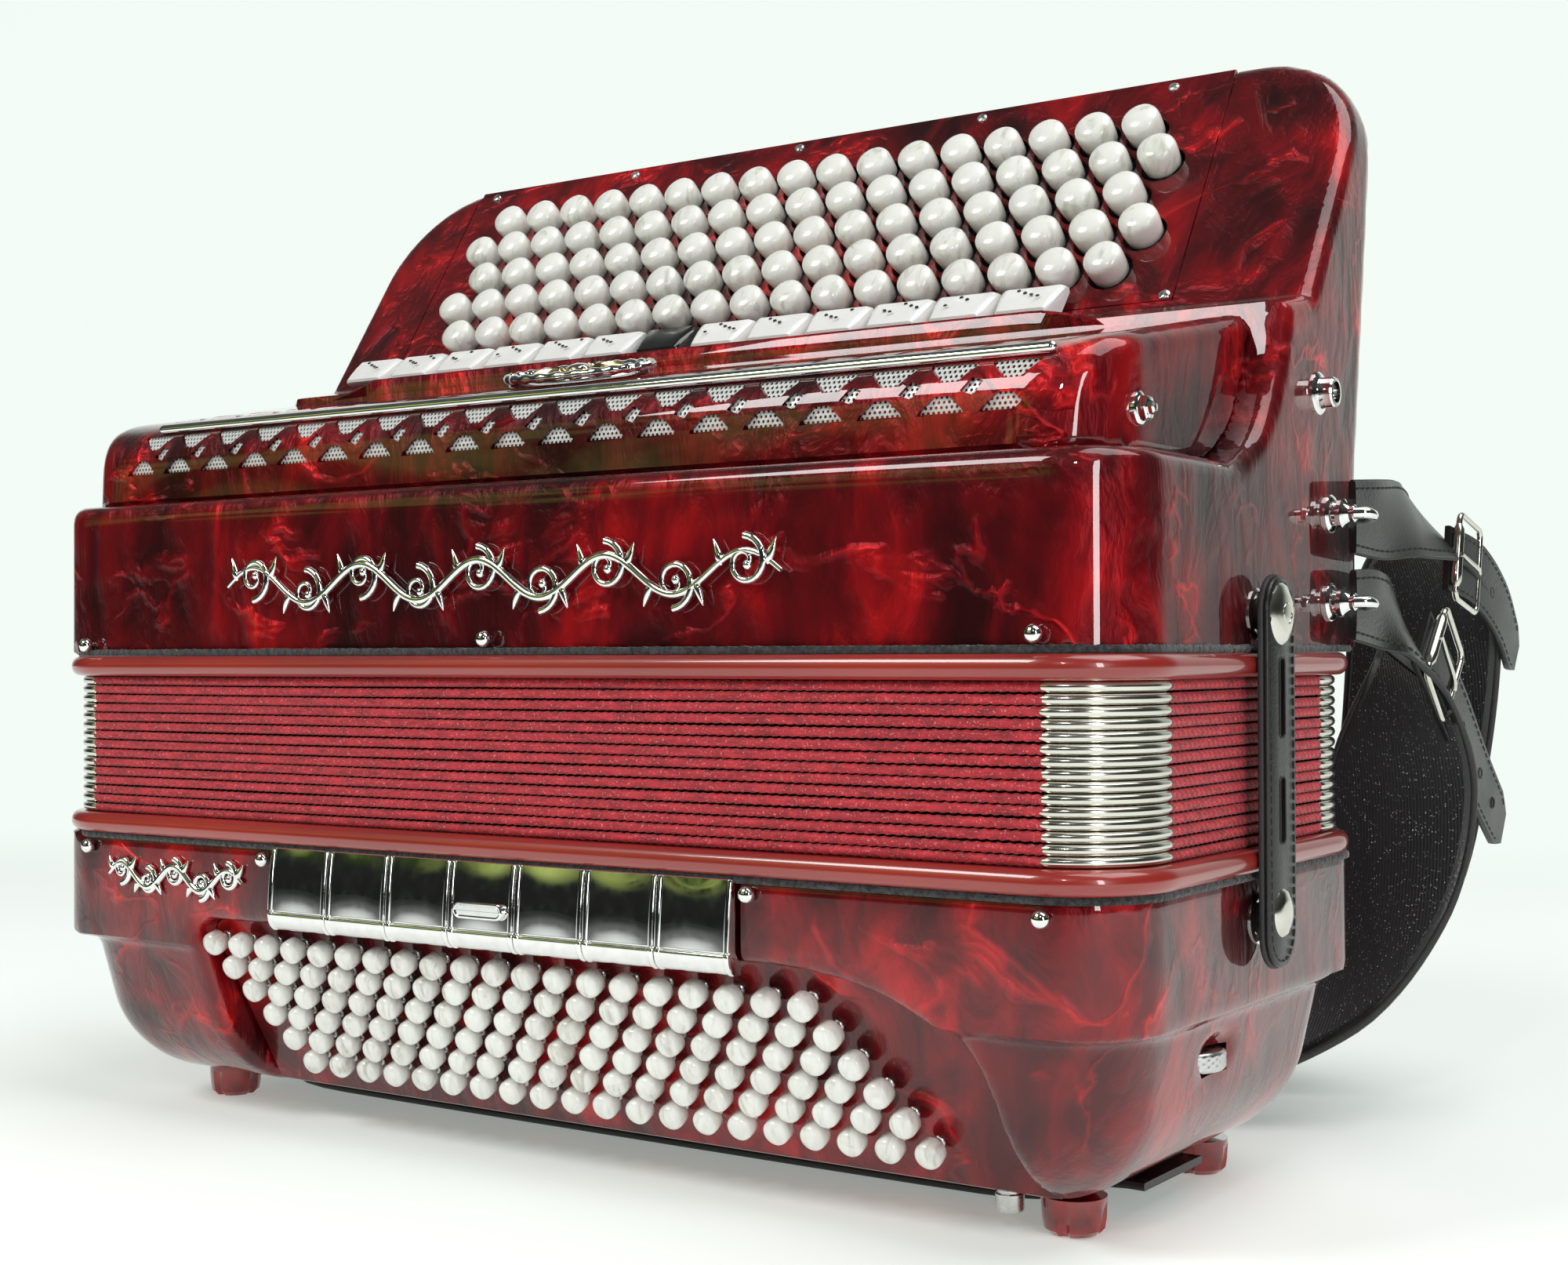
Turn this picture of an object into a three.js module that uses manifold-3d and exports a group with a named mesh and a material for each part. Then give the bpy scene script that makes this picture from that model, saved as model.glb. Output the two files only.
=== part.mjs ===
// Chromatic button accordion, standing on the feet of its bass end. Millimetres, +Z up.
// X runs along the case, the decorated grille looks towards -Y, the player's side is +Y.
// The model is built with y = 0 at the front of the bellows frames and z = 0 at the floor,
// and the last lines move it so that the middle of its footprint is the origin.
import * as THREE from "three";
import { mergeVertices } from "three/addons/utils/BufferGeometryUtils.js";
import Module from "manifold-3d";

// ---- driving dimensions ----
const HALF_LENGTH = 226; // both cases, half their length
const CASE_FRONT = 4;
const CASE_BACK = 191;
const GAP = 0.3; // clearance between touching pieces
const WALL = 4;

const FRAME_HALF_LENGTH = 230; // bellows frames
const FRAME_DEPTH = 195;
const FRAME_RADIUS = 32;
const FRAME_HEIGHT = 7.5;
const FRAME_WIDTH = 13;
const BASS_FRAME_Z = 106.2;
const TREBLE_FRAME_Z = 165.2;
const FOLD_INSET = 4.5; // how far the folds stand back from the frames
const FOLD_PACKS = 5;
const FOLDS_PER_PACK = 3;
const FOLD_REACH = 3;

const BASS_TOP = BASS_FRAME_Z - GAP;
const BASS_LEDGE = 66; // step where the lower part of the bass case begins
const BASS_BOTTOM = 11.5;
const TREBLE_BOTTOM = TREBLE_FRAME_Z + FRAME_HEIGHT + GAP;
const TREBLE_LEDGE = 230; // flat top of the treble case under the grille cover

const BOARD_TILT = THREE.MathUtils.degToRad(32.6); // button board, back from the vertical
const BOARD_Y = 195.1; // board face at the line of the first row of caps
const BOARD_Z = 361;
const BOARD_TOP = 27;
const BOARD_PITCH = 18.93;
const BOARD_ROW_STEP = 16.4;
const BOARD_FIRST_X = -155.8;
const BOARD_ROWS = [
  { count: 17, shift: 0 },
  { count: 18, shift: -0.475 },
  { count: 17, shift: 0.053 },
  { count: 18, shift: -0.429 },
  { count: 17, shift: 0.095 },
];
const TREBLE_CAP = { radius: 7.2, low: 3.5, high: 9 };

const BASS_TILT = THREE.MathUtils.degToRad(22.66); // bass button plate, leaning back downwards
const BASS_PLATE_Y = 16.3; // plate face at the line of the first row
const BASS_PLATE_Z = 69.9;
const BASS_PITCH = 13.63;
const BASS_ROW_STEP = 9.23;
const BASS_ROW_SHIFT = 6.65;
const BASS_FIRST_X = -140.3;
const BASS_ROW_COUNT = 6;
const BASS_ROW_BUTTONS = 20;
const BASS_CAP = { radius: 4.4, low: 3.5, high: 9 };

const FOOT = { x: 184, front: 58.7, back: 150, radius: 10 };
const SNAP = { y: 100, treble: 184.4, bass: 92, radius: 8, proud: 4.2 }; // studs of the bellows straps

// ---- materials ----
const plastic = (color, roughness = 0.25) => new THREE.MeshStandardMaterial({ color, roughness, metalness: 0 });
const metal = (color, roughness = 0.15) => new THREE.MeshStandardMaterial({ color, roughness, metalness: 1 });
const CELLULOID = plastic(0x8c0f1a, 0.15);
const FRAME_RED = plastic(0xa8202a, 0.2);
const CLOTH = plastic(0x8e1f30, 0.75);
const PEARL = plastic(0xe9e6dc, 0.25);
const WHITE = plastic(0xf2f2ee, 0.3);
const BLACK = plastic(0x101010, 0.3);
const CHROME = metal(0xd8d8d8, 0.08);
const STEEL = metal(0xb8b8b4, 0.35);
const LEATHER = plastic(0x151515, 0.55);
const PADDING = plastic(0x1c1c1e, 0.85);
const WOOD = plastic(0xb58a58, 0.6);

// ---- solids ----
const wasm = await Module();
wasm.setup();

// A closed three.js geometry as a solid that can be joined and cut.
function solid(geometry) {
  const bare = new THREE.BufferGeometry();
  const source = geometry.index ? geometry.toNonIndexed() : geometry;
  bare.setAttribute("position", source.getAttribute("position"));
  const merged = mergeVertices(bare, 1e-4);
  const vertProperties = merged.getAttribute("position").array;
  const triVerts = new Uint32Array(merged.index.array);
  return new wasm.Manifold(new wasm.Mesh({ numProp: 3, vertProperties, triVerts }));
}

// A solid as a named mesh.
function piece(name, shape, material) {
  const mesh = shape.getMesh();
  const geometry = new THREE.BufferGeometry();
  const positions = new Float32Array(mesh.numVert * 3);
  for (let i = 0; i < mesh.numVert; i++) {
    positions.set(mesh.vertProperties.subarray(i * mesh.numProp, i * mesh.numProp + 3), i * 3);
  }
  geometry.setAttribute("position", new THREE.BufferAttribute(positions, 3));
  geometry.setIndex(new THREE.BufferAttribute(new Uint32Array(mesh.triVerts), 1));
  geometry.computeVertexNormals();
  const made = new THREE.Mesh(geometry, material);
  made.name = name;
  return made;
}

const X = new THREE.Vector3(1, 0, 0);
const Y = new THREE.Vector3(0, 1, 0);
const Z = new THREE.Vector3(0, 0, 1);
const outline = (points) => new THREE.Shape(points.map(([a, b]) => new THREE.Vector2(a, b)));

// An outline pushed along an axis: (y, z) along X, (x, z) along Y, (x, y) along Z.
function push(shape, low, high, axis, curveSegments = 3) {
  const geometry = new THREE.ExtrudeGeometry(shape, { depth: high - low, bevelEnabled: false, curveSegments });
  const turn = new THREE.Matrix4();
  if (axis === X) turn.makeBasis(Y, Z, X).setPosition(low, 0, 0);
  if (axis === Y) turn.makeBasis(X, Z, Y.clone().negate()).setPosition(0, high, 0);
  if (axis === Z) turn.setPosition(0, 0, low);
  return solid(geometry.applyMatrix4(turn));
}

function block(x0, x1, y0, y1, z0, z1) {
  const geometry = new THREE.BoxGeometry(x1 - x0, y1 - y0, z1 - z0);
  return solid(geometry.translate((x0 + x1) / 2, (y0 + y1) / 2, (z0 + z1) / 2));
}

// A round bar from low to high along an axis through (x, y, z).
function bar(radius, low, high, axis, x, y, z, sides = 12) {
  const geometry = new THREE.CylinderGeometry(radius, radius, high - low, sides);
  const middle = (low + high) / 2;
  if (axis === X) geometry.rotateZ(Math.PI / 2).translate(middle, y, z);
  if (axis === Y) geometry.translate(x, middle, z);
  if (axis === Z) geometry.rotateX(Math.PI / 2).translate(x, y, middle);
  return solid(geometry);
}

// A rectangle in plan with its own radius at the front and at the back corners.
function plan(halfLength, front, back, frontRadius, backRadius) {
  const shape = new THREE.Shape();
  shape.moveTo(-halfLength + frontRadius, front);
  shape.lineTo(halfLength - frontRadius, front);
  shape.absarc(halfLength - frontRadius, front + frontRadius, frontRadius, -Math.PI / 2, 0);
  shape.lineTo(halfLength, back - backRadius);
  shape.absarc(halfLength - backRadius, back - backRadius, backRadius, 0, Math.PI / 2);
  shape.lineTo(-halfLength + backRadius, back);
  shape.absarc(-halfLength + backRadius, back - backRadius, backRadius, Math.PI / 2, Math.PI);
  shape.lineTo(-halfLength, front + frontRadius);
  shape.absarc(-halfLength + frontRadius, front + frontRadius, frontRadius, Math.PI, Math.PI * 1.5);
  return shape;
}

// Places a solid made in a tilted plate's own frame: x along the case, y up the slope, z out of the face.
function onPlate(shape, y, z, turn) {
  const matrix = new THREE.Matrix4().makeRotationX(turn).setPosition(0, y, z);
  return shape.transform(matrix.elements);
}
const onBoard = (shape) => onPlate(shape, BOARD_Y, BOARD_Z, Math.PI / 2 - BOARD_TILT);
const onBassPlate = (shape) => onPlate(shape, BASS_PLATE_Y, BASS_PLATE_Z, Math.PI / 2 + BASS_TILT);

// ---- bellows ----
function bellowsFrame(z) {
  const shape = plan(FRAME_HALF_LENGTH, 0, FRAME_DEPTH, FRAME_RADIUS, FRAME_RADIUS);
  const inside = FRAME_RADIUS - FRAME_WIDTH;
  shape.holes.push(plan(FRAME_HALF_LENGTH - FRAME_WIDTH, FRAME_WIDTH, FRAME_DEPTH - FRAME_WIDTH, inside, inside));
  return push(shape, z, z + FRAME_HEIGHT, Z);
}

// A pack of folds: one ring, pointed outside once for each fold.
function foldPack(index) {
  const low = BASS_FRAME_Z + FRAME_HEIGHT;
  const room = (TREBLE_FRAME_Z - low) / FOLD_PACKS;
  const height = (room - GAP) / FOLDS_PER_PACK;
  const start = low + index * room + GAP / 2;
  const section = [[FOLD_INSET + FOLD_REACH, start]];
  for (let i = 0; i < FOLDS_PER_PACK; i++) {
    section.push([FOLD_INSET, start + (i + 0.5) * height]);
    section.push([FOLD_INSET + FOLD_REACH, start + (i + 1) * height]);
  }
  const inside = FOLD_INSET + FRAME_WIDTH;
  section.push([inside, start + FOLDS_PER_PACK * height], [inside, start]);
  return sweepRound(section);
}

// A closed section of [inset, z] carried round the plan of the bellows.
function sweepRound(section) {
  const rings = section.map(([inset, z]) => {
    const radius = FRAME_RADIUS - inset;
    const shape = plan(FRAME_HALF_LENGTH - inset, inset, FRAME_DEPTH - inset, radius, radius);
    return shape.getPoints(2).map((p) => new THREE.Vector3(p.x, p.y, z));
  });
  const positions = [];
  const count = rings[0].length;
  rings.forEach((ring, i) => {
    const next = rings[(i + 1) % rings.length];
    for (let k = 0; k < count; k++) {
      const m = (k + 1) % count;
      [ring[k], ring[m], next[m], ring[k], next[m], next[k]].forEach((p) => positions.push(p.x, p.y, p.z));
    }
  });
  const geometry = new THREE.BufferGeometry();
  geometry.setAttribute("position", new THREE.Float32BufferAttribute(positions, 3));
  return solid(geometry);
}

// ---- bass end ----
// The bass case: a straight upper part and a lower part that narrows to a rounded bottom.
function bassShape(wall) {
  const upper = push(
    plan(HALF_LENGTH - wall, CASE_FRONT + wall, CASE_BACK - wall, 28 - wall, 18 - wall),
    BASS_LEDGE + wall,
    BASS_TOP + (wall ? 1 : 0),
    Z,
  );
  const side = new THREE.Shape();
  side.moveTo(9 + wall, BASS_LEDGE + 6);
  side.lineTo(13 + wall, 50);
  side.quadraticCurveTo(17 + wall, 14 + wall, 48 + wall, BASS_BOTTOM + wall);
  side.lineTo(158 - wall, BASS_BOTTOM + wall);
  side.quadraticCurveTo(180 - wall, 13 + wall, 184 - wall, 42);
  side.lineTo(187 - wall, BASS_LEDGE + 6);
  const face = new THREE.Shape();
  face.moveTo(222 - wall, BASS_LEDGE + 6);
  face.lineTo(217 - wall, 46);
  face.quadraticCurveTo(211 - wall, BASS_BOTTOM + wall, 184 - wall, BASS_BOTTOM + wall);
  face.lineTo(-184 + wall, BASS_BOTTOM + wall);
  face.quadraticCurveTo(-211 + wall, BASS_BOTTOM + wall, -217 + wall, 46);
  face.lineTo(-222 + wall, BASS_LEDGE + 6);
  const lower = push(side, -HALF_LENGTH, HALF_LENGTH, X)
    .intersect(push(face, 0, FRAME_DEPTH, Y))
    .intersect(push(plan(222 - wall, 9 + wall, 187 - wall, 30 - wall, 24 - wall), 0, BASS_TOP, Z));
  return upper.add(lower);
}

// The front opening that the bass buttons look out of, in front of the plate.
function bassRecess(grow) {
  const mouth = new THREE.Shape();
  mouth.moveTo(-134 - grow, 0);
  mouth.lineTo(-146 - grow, 66);
  mouth.quadraticCurveTo(-147 - grow, 76 + grow, -136, 76 + grow);
  mouth.lineTo(112, 79 + grow);
  mouth.quadraticCurveTo(150 + grow, 79 + grow, 172 + grow, 62);
  mouth.quadraticCurveTo(183 + grow, 50, 190 + grow, 0);
  return push(mouth, -10, 80, Y);
}

// A stud on the end of a case, which a bellows strap snaps onto.
function snapStud(side, z) {
  const inner = side * (HALF_LENGTH - 1);
  const outer = side * (HALF_LENGTH + SNAP.proud);
  return bar(SNAP.radius, Math.min(inner, outer), Math.max(inner, outer), X, 0, SNAP.y, z);
}

const bassSlab = (low, high) => onBassPlate(block(-200, 200, -75, 14, low, high));

function bassCase() {
  const hollow = bassShape(WALL);
  const recess = bassRecess(0).intersect(bassSlab(-2.5 - GAP, 60));
  const window = bassRecess(-1).intersect(bassSlab(-20, 60));
  const registerBay = block(-101, 101, -1, CASE_FRONT + WALL + 2, 75, BASS_TOP + 1);
  const bottomOpening = block(-160 - GAP, 160 + GAP, 64 - GAP, 150 + GAP, BASS_BOTTOM - 1, BASS_BOTTOM + WALL + 1);
  const wheelSlot = block(194, 240, 68, 100, 45.5, 55.5);
  const airHole = bar(4.5 + GAP, 0, 20, Z, 167, 50, 0);
  let made = bassShape(0).subtract(hollow);
  // The seat of the button plate is a solid lip all round the window.
  made = made.add(bassShape(0).intersect(bassRecess(6)).intersect(bassSlab(-5.5, 0)));
  made = made.subtract(recess).subtract(window).subtract(registerBay);
  made = made.subtract(bottomOpening).subtract(wheelSlot).subtract(airHole);
  return made.add(snapStud(-1, SNAP.bass)).add(snapStud(1, SNAP.bass));
}

function bassButtonPlate() {
  let plate = bassRecess(-GAP).intersect(bassSlab(-2.5, 0)).intersect(bassShape(0.5));
  for (let row = 0; row < BASS_ROW_COUNT; row++) {
    const x = BASS_FIRST_X + row * BASS_ROW_SHIFT;
    const end = x + (BASS_ROW_BUTTONS - 1) * BASS_PITCH;
    const y = -row * BASS_ROW_STEP;
    plate = plate.subtract(onBassPlate(block(x - 2.5, end + 2.5, y - 1.4, y + 1.4, -10, 10)));
  }
  return plate;
}

// A row of caps on one thin fin that passes through the slot of its plate.
function buttonRow(count, pitch, firstX, y, cap, sides, finHalf) {
  const end = firstX + (count - 1) * pitch;
  let row = block(firstX - 2, end + 2, y - finHalf, y + finHalf, -5, cap.low + 1);
  for (let i = 0; i < count; i++) {
    row = row.add(bar(cap.radius, cap.low, cap.high, Z, firstX + i * pitch, y, 0, sides));
  }
  return row;
}

function bassRegister(index) {
  const pitch = 200 / 7;
  const low = -100 + index * pitch + GAP;
  const side = outline([
    [-0.6, 105.4],
    [-0.6, 82],
    [2.4, 76.6],
    [6.5, 76.6],
    [6.5, 105.4],
  ]);
  const plate = push(side, low, low + pitch - 2 * GAP, X);
  if (index !== 3) return plate;
  return plate.add(block(low + 5, low + pitch - 5.6, -2.2, 0, 88, 92));
}

function bassReedBlock() {
  let made = block(-150, 150, 70, 140, BASS_BOTTOM + WALL + GAP, 84);
  for (let i = 0; i < 6; i++) made = made.subtract(block(-143 + i * 48, -101 + i * 48, 60, 160, 24, 76));
  return made;
}

function handStrap() {
  const side = outline([
    [-196, 11.2],
    [-196, 8.4],
    [-182, 8.4],
    [-160, 1],
    [160, 1],
    [182, 8.4],
    [196, 8.4],
    [196, 11.2],
    [178, 11.2],
    [157, 4],
    [-157, 4],
    [-178, 11.2],
  ]);
  return push(side, 76, 132, Y);
}

// ---- treble end ----
// The side view of the treble case: low front, flat ledge, hollow sweep, register shelf and button board.
function trebleProfile(wall, bottom) {
  const slope = new THREE.Vector2(Math.sin(BOARD_TILT), Math.cos(BOARD_TILT));
  const inward = new THREE.Vector2(slope.y * wall, -slope.x * wall);
  const at = (s) => [BOARD_Y + s * slope.x + inward.x, BOARD_Z + s * slope.y + inward.y];
  const shape = new THREE.Shape();
  shape.moveTo(CASE_FRONT + wall, bottom);
  shape.lineTo(CASE_FRONT + wall, 222);
  shape.quadraticCurveTo(CASE_FRONT + wall, TREBLE_LEDGE - wall, 13 + wall, TREBLE_LEDGE - wall);
  shape.lineTo(84 + wall, TREBLE_LEDGE - wall);
  shape.quadraticCurveTo(118 + wall, 238 - wall, 127 + wall, 284 - wall);
  shape.lineTo(...at(-86));
  shape.lineTo(...at(BOARD_TOP - wall * 0.6));
  shape.lineTo(213 - wall * 0.6, 383.5 - wall * 2);
  shape.lineTo(213.5 - wall, 378 - wall * 2);
  shape.lineTo(CASE_BACK - wall, 232);
  shape.lineTo(CASE_BACK - wall, bottom);
  return shape;
}

function trebleShape(wall, bottom) {
  const half = HALF_LENGTH - wall;
  const face = new THREE.Shape();
  const round = 42 - wall;
  const top = 384 - wall;
  face.moveTo(-half, bottom - 1);
  face.lineTo(half, bottom - 1);
  face.lineTo(half, top - round);
  face.absarc(half - round, top - round, round, 0, Math.PI / 2);
  face.absarc(-half + round, top - round, round, Math.PI / 2, Math.PI);
  return push(trebleProfile(wall, bottom), -half, half, X)
    .intersect(push(face, 0, 230, Y))
    .intersect(push(plan(half, CASE_FRONT + wall, 216 - wall, 28 - wall, 14 - wall), bottom - 1, 400, Z));
}

function trebleCase() {
  const hollow = trebleShape(WALL, TREBLE_BOTTOM - 1);
  const rebate = onBoard(block(-189 - GAP, 176 + GAP, -82 - GAP, 24 + GAP, -2.5 - GAP, 10));
  const window = onBoard(block(-184, 171, -77, 19, -WALL - 0.6, 10));
  const soundHole = block(-170, 170, 34, 72, 220, 240);
  let made = trebleShape(0, TREBLE_BOTTOM).subtract(hollow);
  made = made.subtract(rebate).subtract(window).subtract(soundHole);
  for (const side of [-1, 1]) {
    const inner = side * (HALF_LENGTH - 1);
    for (const [y, z] of [[163, 218], [163, 189]]) {
      const outer = side * (HALF_LENGTH + 4.6);
      made = made.add(bar(5, Math.min(inner, outer), Math.max(inner, outer), X, 0, y, z, 10));
    }
    made = made.add(snapStud(side, SNAP.treble));
  }
  return made;
}

// The grille cover's side view. It meets the case along the hollow sweep.
function grilleProfile(wall) {
  const shape = new THREE.Shape();
  const low = wall ? TREBLE_LEDGE - 2 : TREBLE_LEDGE + GAP;
  shape.moveTo(15 + wall, low);
  shape.lineTo(17 + wall, 244);
  shape.quadraticCurveTo(20 + wall, 261 - wall * 0.7, 42, 265 - wall);
  shape.lineTo(124.5 + wall, 280.5 - wall);
  if (wall) {
    shape.lineTo(134, 280.5 - wall);
    shape.lineTo(134, low);
    return shape;
  }
  shape.quadraticCurveTo(115.8, 239.4, 83, TREBLE_LEDGE + GAP);
  return shape;
}

const grilleShape = (wall) =>
  push(grilleProfile(wall), -214 + wall, 214 - wall, X).intersect(
    push(plan(214 - wall, 15 + wall, 140, 30 - wall, 2), 220, 300, Z),
  );

// One sound opening of the grille, wide at the bottom, or wide at the top where flipped is true.
function soundOpening(x, z, flipped) {
  const wide = 8;
  const narrow = 3.5;
  const height = 6.5;
  const [low, high] = flipped ? [narrow, wide] : [wide, narrow];
  const shape = outline([
    [x - low, z],
    [x + low, z],
    [x + high, z + height],
    [x - high, z + height],
  ]);
  return push(shape, 5, 35, Y);
}

function grilleCover() {
  let made = grilleShape(0).subtract(grilleShape(2.5));
  for (let i = 0; i < 19; i++) {
    const x = -178 + i * 20;
    made = made.subtract(soundOpening(x, 240.5, false));
    made = made.subtract(soundOpening(x, 250.5, true));
  }
  return made;
}

function grilleScreen() {
  const sheet = grilleShape(3).subtract(grilleShape(4));
  return sheet.intersect(block(-200, 200, 0, 112, 231, 300));
}

function badge() {
  const oval = new THREE.Shape();
  oval.absellipse(0, 0, 32, 13, 0, Math.PI * 2);
  const disc = push(oval, 0.3, 3.3, Z, 12);
  const matrix = new THREE.Matrix4().makeRotationX(Math.atan2(15.5, 82.5)).setPosition(0, 58, 268.1);
  return disc.transform(matrix.elements);
}

function trebleButtonPlate() {
  let plate = block(-189, 176, -82, 24, -2.5, 0);
  BOARD_ROWS.forEach((row, index) => {
    const x = BOARD_FIRST_X + row.shift * BOARD_PITCH;
    const end = x + (row.count - 1) * BOARD_PITCH;
    const y = -index * BOARD_ROW_STEP;
    plate = plate.subtract(block(x - 2.5, end + 2.5, y - 1.9, y + 1.9, -10, 10));
  });
  return onBoard(plate);
}

// Register tabs stand on the shelf under the buttons and lean on the board.
function trebleRegister(index) {
  const pitch = 26.6;
  const low = -208 + index * pitch + GAP;
  const side = outline([
    [-83.5, 2.4],
    [-75.6, 2.4],
    [-75.6, 5],
    [-84.5, 12],
    [-86.5, 12],
  ]);
  return onBoard(push(side, low, low + pitch - 2 * GAP, X));
}

function trebleReedBlock() {
  let made = block(-150, 150, 76, 140, 191, TREBLE_LEDGE - WALL - GAP);
  for (let i = 0; i < 6; i++) made = made.subtract(block(-143 + i * 48, -101 + i * 48, 60, 160, 198, 219));
  return made;
}

function bellowsStrap(side) {
  const shape = new THREE.Shape();
  shape.absarc(SNAP.y, SNAP.treble, 12, 0, Math.PI);
  shape.absarc(SNAP.y, SNAP.bass - 3, 12, Math.PI, Math.PI * 2);
  const inner = HALF_LENGTH + SNAP.proud + GAP;
  const band = push(shape, inner, inner + 3, X, 6);
  return side > 0 ? band : band.mirror([1, 0, 0]);
}

// ---- shoulder straps ----
// Half of a strap, from the stud on the end of the case to the floor behind it.
// Each station has a place, the way the band's width points there, its width and its thickness.
const UPPER_STRAP = [
  { at: [232.6, 150, 218], wide: [0, 0, 1], width: 20, thick: 3 },
  { at: [232.6, 190, 218], wide: [0, 0, 1], width: 26, thick: 3 },
  { at: [231, 232, 219], wide: [-0.35, 0, 0.94], width: 28, thick: 3 },
  { at: [224, 280, 214], wide: [-0.8, 0, 0.6], width: 36, thick: 4 },
  { at: [208, 320, 188], wide: [-1, 0, 0.15], width: 58, thick: 8 },
  { at: [198, 336, 137], wide: [-1, 0.1, 0], width: 62, thick: 9 },
  { at: [190, 332, 82], wide: [-0.95, 0.3, 0], width: 62, thick: 9 },
  { at: [168, 318, 36], wide: [-0.75, 0.66, 0], width: 62, thick: 9 },
  { at: [125, 307, 12], wide: [-0.35, 0.94, 0], width: 62, thick: 9 },
  { at: [62, 305, 6], wide: [-0.08, 1, 0], width: 62, thick: 9 },
  { at: [0, 305, 6], wide: [0, 1, 0], width: 62, thick: 9 },
];
const LOWER_STRAP = [
  { at: [232.6, 150, 189], wide: [0, 0, 1], width: 20, thick: 3 },
  { at: [232.6, 186, 188], wide: [0, 0, 1], width: 26, thick: 3 },
  { at: [232, 216, 182], wide: [-0.35, 0.05, 0.94], width: 28, thick: 3 },
  { at: [227, 246, 163], wide: [-0.8, 0.1, 0.6], width: 36, thick: 4 },
  { at: [216, 268, 128], wide: [-1, 0, 0.1], width: 54, thick: 8 },
  { at: [206, 270, 86], wide: [-0.98, 0.15, 0], width: 60, thick: 9 },
  { at: [188, 258, 45], wide: [-0.85, 0.5, 0], width: 60, thick: 9 },
  { at: [152, 242, 15], wide: [-0.45, 0.9, 0], width: 60, thick: 9 },
  { at: [95, 236, 6.2], wide: [-0.12, 1, 0], width: 60, thick: 9 },
  { at: [0, 235, 6], wide: [0, 1, 0], width: 60, thick: 9 },
];

// Smoothly blended values of a list of stations, resampled to a number of steps.
function smoothStations(stations, steps) {
  const curve = (pick) => new THREE.CatmullRomCurve3(stations.map((s) => new THREE.Vector3(...pick(s))));
  const place = curve((s) => s.at);
  const wide = curve((s) => s.wide);
  const section = curve((s) => [s.width, s.thick, 0]);
  const list = [];
  for (let i = 0; i <= steps; i++) {
    const t = i / steps;
    const size = section.getPoint(t);
    const along = place.getTangent(t);
    list.push({ at: place.getPoint(t), along, wide: wide.getPoint(t), width: size.x, thick: size.y });
  }
  return list;
}

// A flat band as one closed surface with four corners at each station.
function band(half) {
  const flip = new THREE.Vector3(-1, 1, 1);
  const right = smoothStations(half, 22);
  const left = right.slice(0, -1).reverse();
  const mirrored = left.map((s) => ({
    ...s,
    at: s.at.clone().multiply(flip),
    wide: s.wide.clone().multiply(flip),
    along: s.along.clone().multiply(flip).negate(),
  }));
  const stations = right.concat(mirrored);
  const corners = stations.map((s) => {
    const across = s.wide.clone().addScaledVector(s.along, -s.wide.dot(s.along)).normalize();
    const out = new THREE.Vector3().crossVectors(s.along, across).normalize();
    return [[-1, -1], [1, -1], [1, 1], [-1, 1]].map(([a, b]) =>
      s.at.clone().addScaledVector(across, (a * s.width) / 2).addScaledVector(out, (b * s.thick) / 2),
    );
  });
  const positions = [];
  const quad = (a, b, c, d) => [a, b, c, a, c, d].forEach((p) => positions.push(p.x, p.y, p.z));
  for (let i = 0; i + 1 < corners.length; i++) {
    const [here, next] = [corners[i], corners[i + 1]];
    for (let k = 0; k < 4; k++) quad(here[k], here[(k + 1) % 4], next[(k + 1) % 4], next[k]);
  }
  const last = corners[corners.length - 1];
  quad(corners[0][3], corners[0][2], corners[0][1], corners[0][0]);
  quad(last[0], last[1], last[2], last[3]);
  const geometry = new THREE.BufferGeometry();
  geometry.setAttribute("position", new THREE.Float32BufferAttribute(positions, 3));
  return solid(geometry);
}

// ---- assembly ----
const bass = new THREE.Group();
bass.add(
  piece("bass_case", bassCase(), CELLULOID),
  piece("bass_bottom_plate", block(-160, 160, 64, 150, BASS_BOTTOM + 0.7, BASS_BOTTOM + WALL), CELLULOID),
  piece("bass_button_plate", bassButtonPlate(), CELLULOID),
  piece("bass_reed_block", bassReedBlock(), WOOD),
  piece("bellows_frame_bass", bellowsFrame(BASS_FRAME_Z), FRAME_RED),
  piece("hand_strap", handStrap(), LEATHER),
  piece("air_button", bar(4.5, 5.5, 26, Z, 167, 50, 0, 16), STEEL),
  piece("strap_wheel", bar(13, 47.5, 53.5, Z, 208, 84, 0, 20), STEEL),
);
for (const [side, x] of [["left", -FOOT.x], ["right", FOOT.x]]) {
  for (const place of ["front", "back"]) {
    const foot = bar(FOOT.radius, 0, BASS_BOTTOM - GAP, Z, x, FOOT[place], 0);
    bass.add(piece(`foot_${place}_${side}`, foot, FRAME_RED));
  }
}
for (let i = 0; i < 7; i++) bass.add(piece(`bass_register_${i + 1}`, bassRegister(i), CHROME));
for (let i = 0; i < BASS_ROW_COUNT; i++) {
  const x = BASS_FIRST_X + i * BASS_ROW_SHIFT;
  const row = buttonRow(BASS_ROW_BUTTONS, BASS_PITCH, x, -i * BASS_ROW_STEP, BASS_CAP, 6, 1);
  bass.add(piece(`bass_button_row_${i + 1}`, onBassPlate(row), PEARL));
}

const bellows = new THREE.Group();
for (let i = 0; i < FOLD_PACKS; i++) bellows.add(piece(`bellows_folds_${i + 1}`, foldPack(i), CLOTH));

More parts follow.
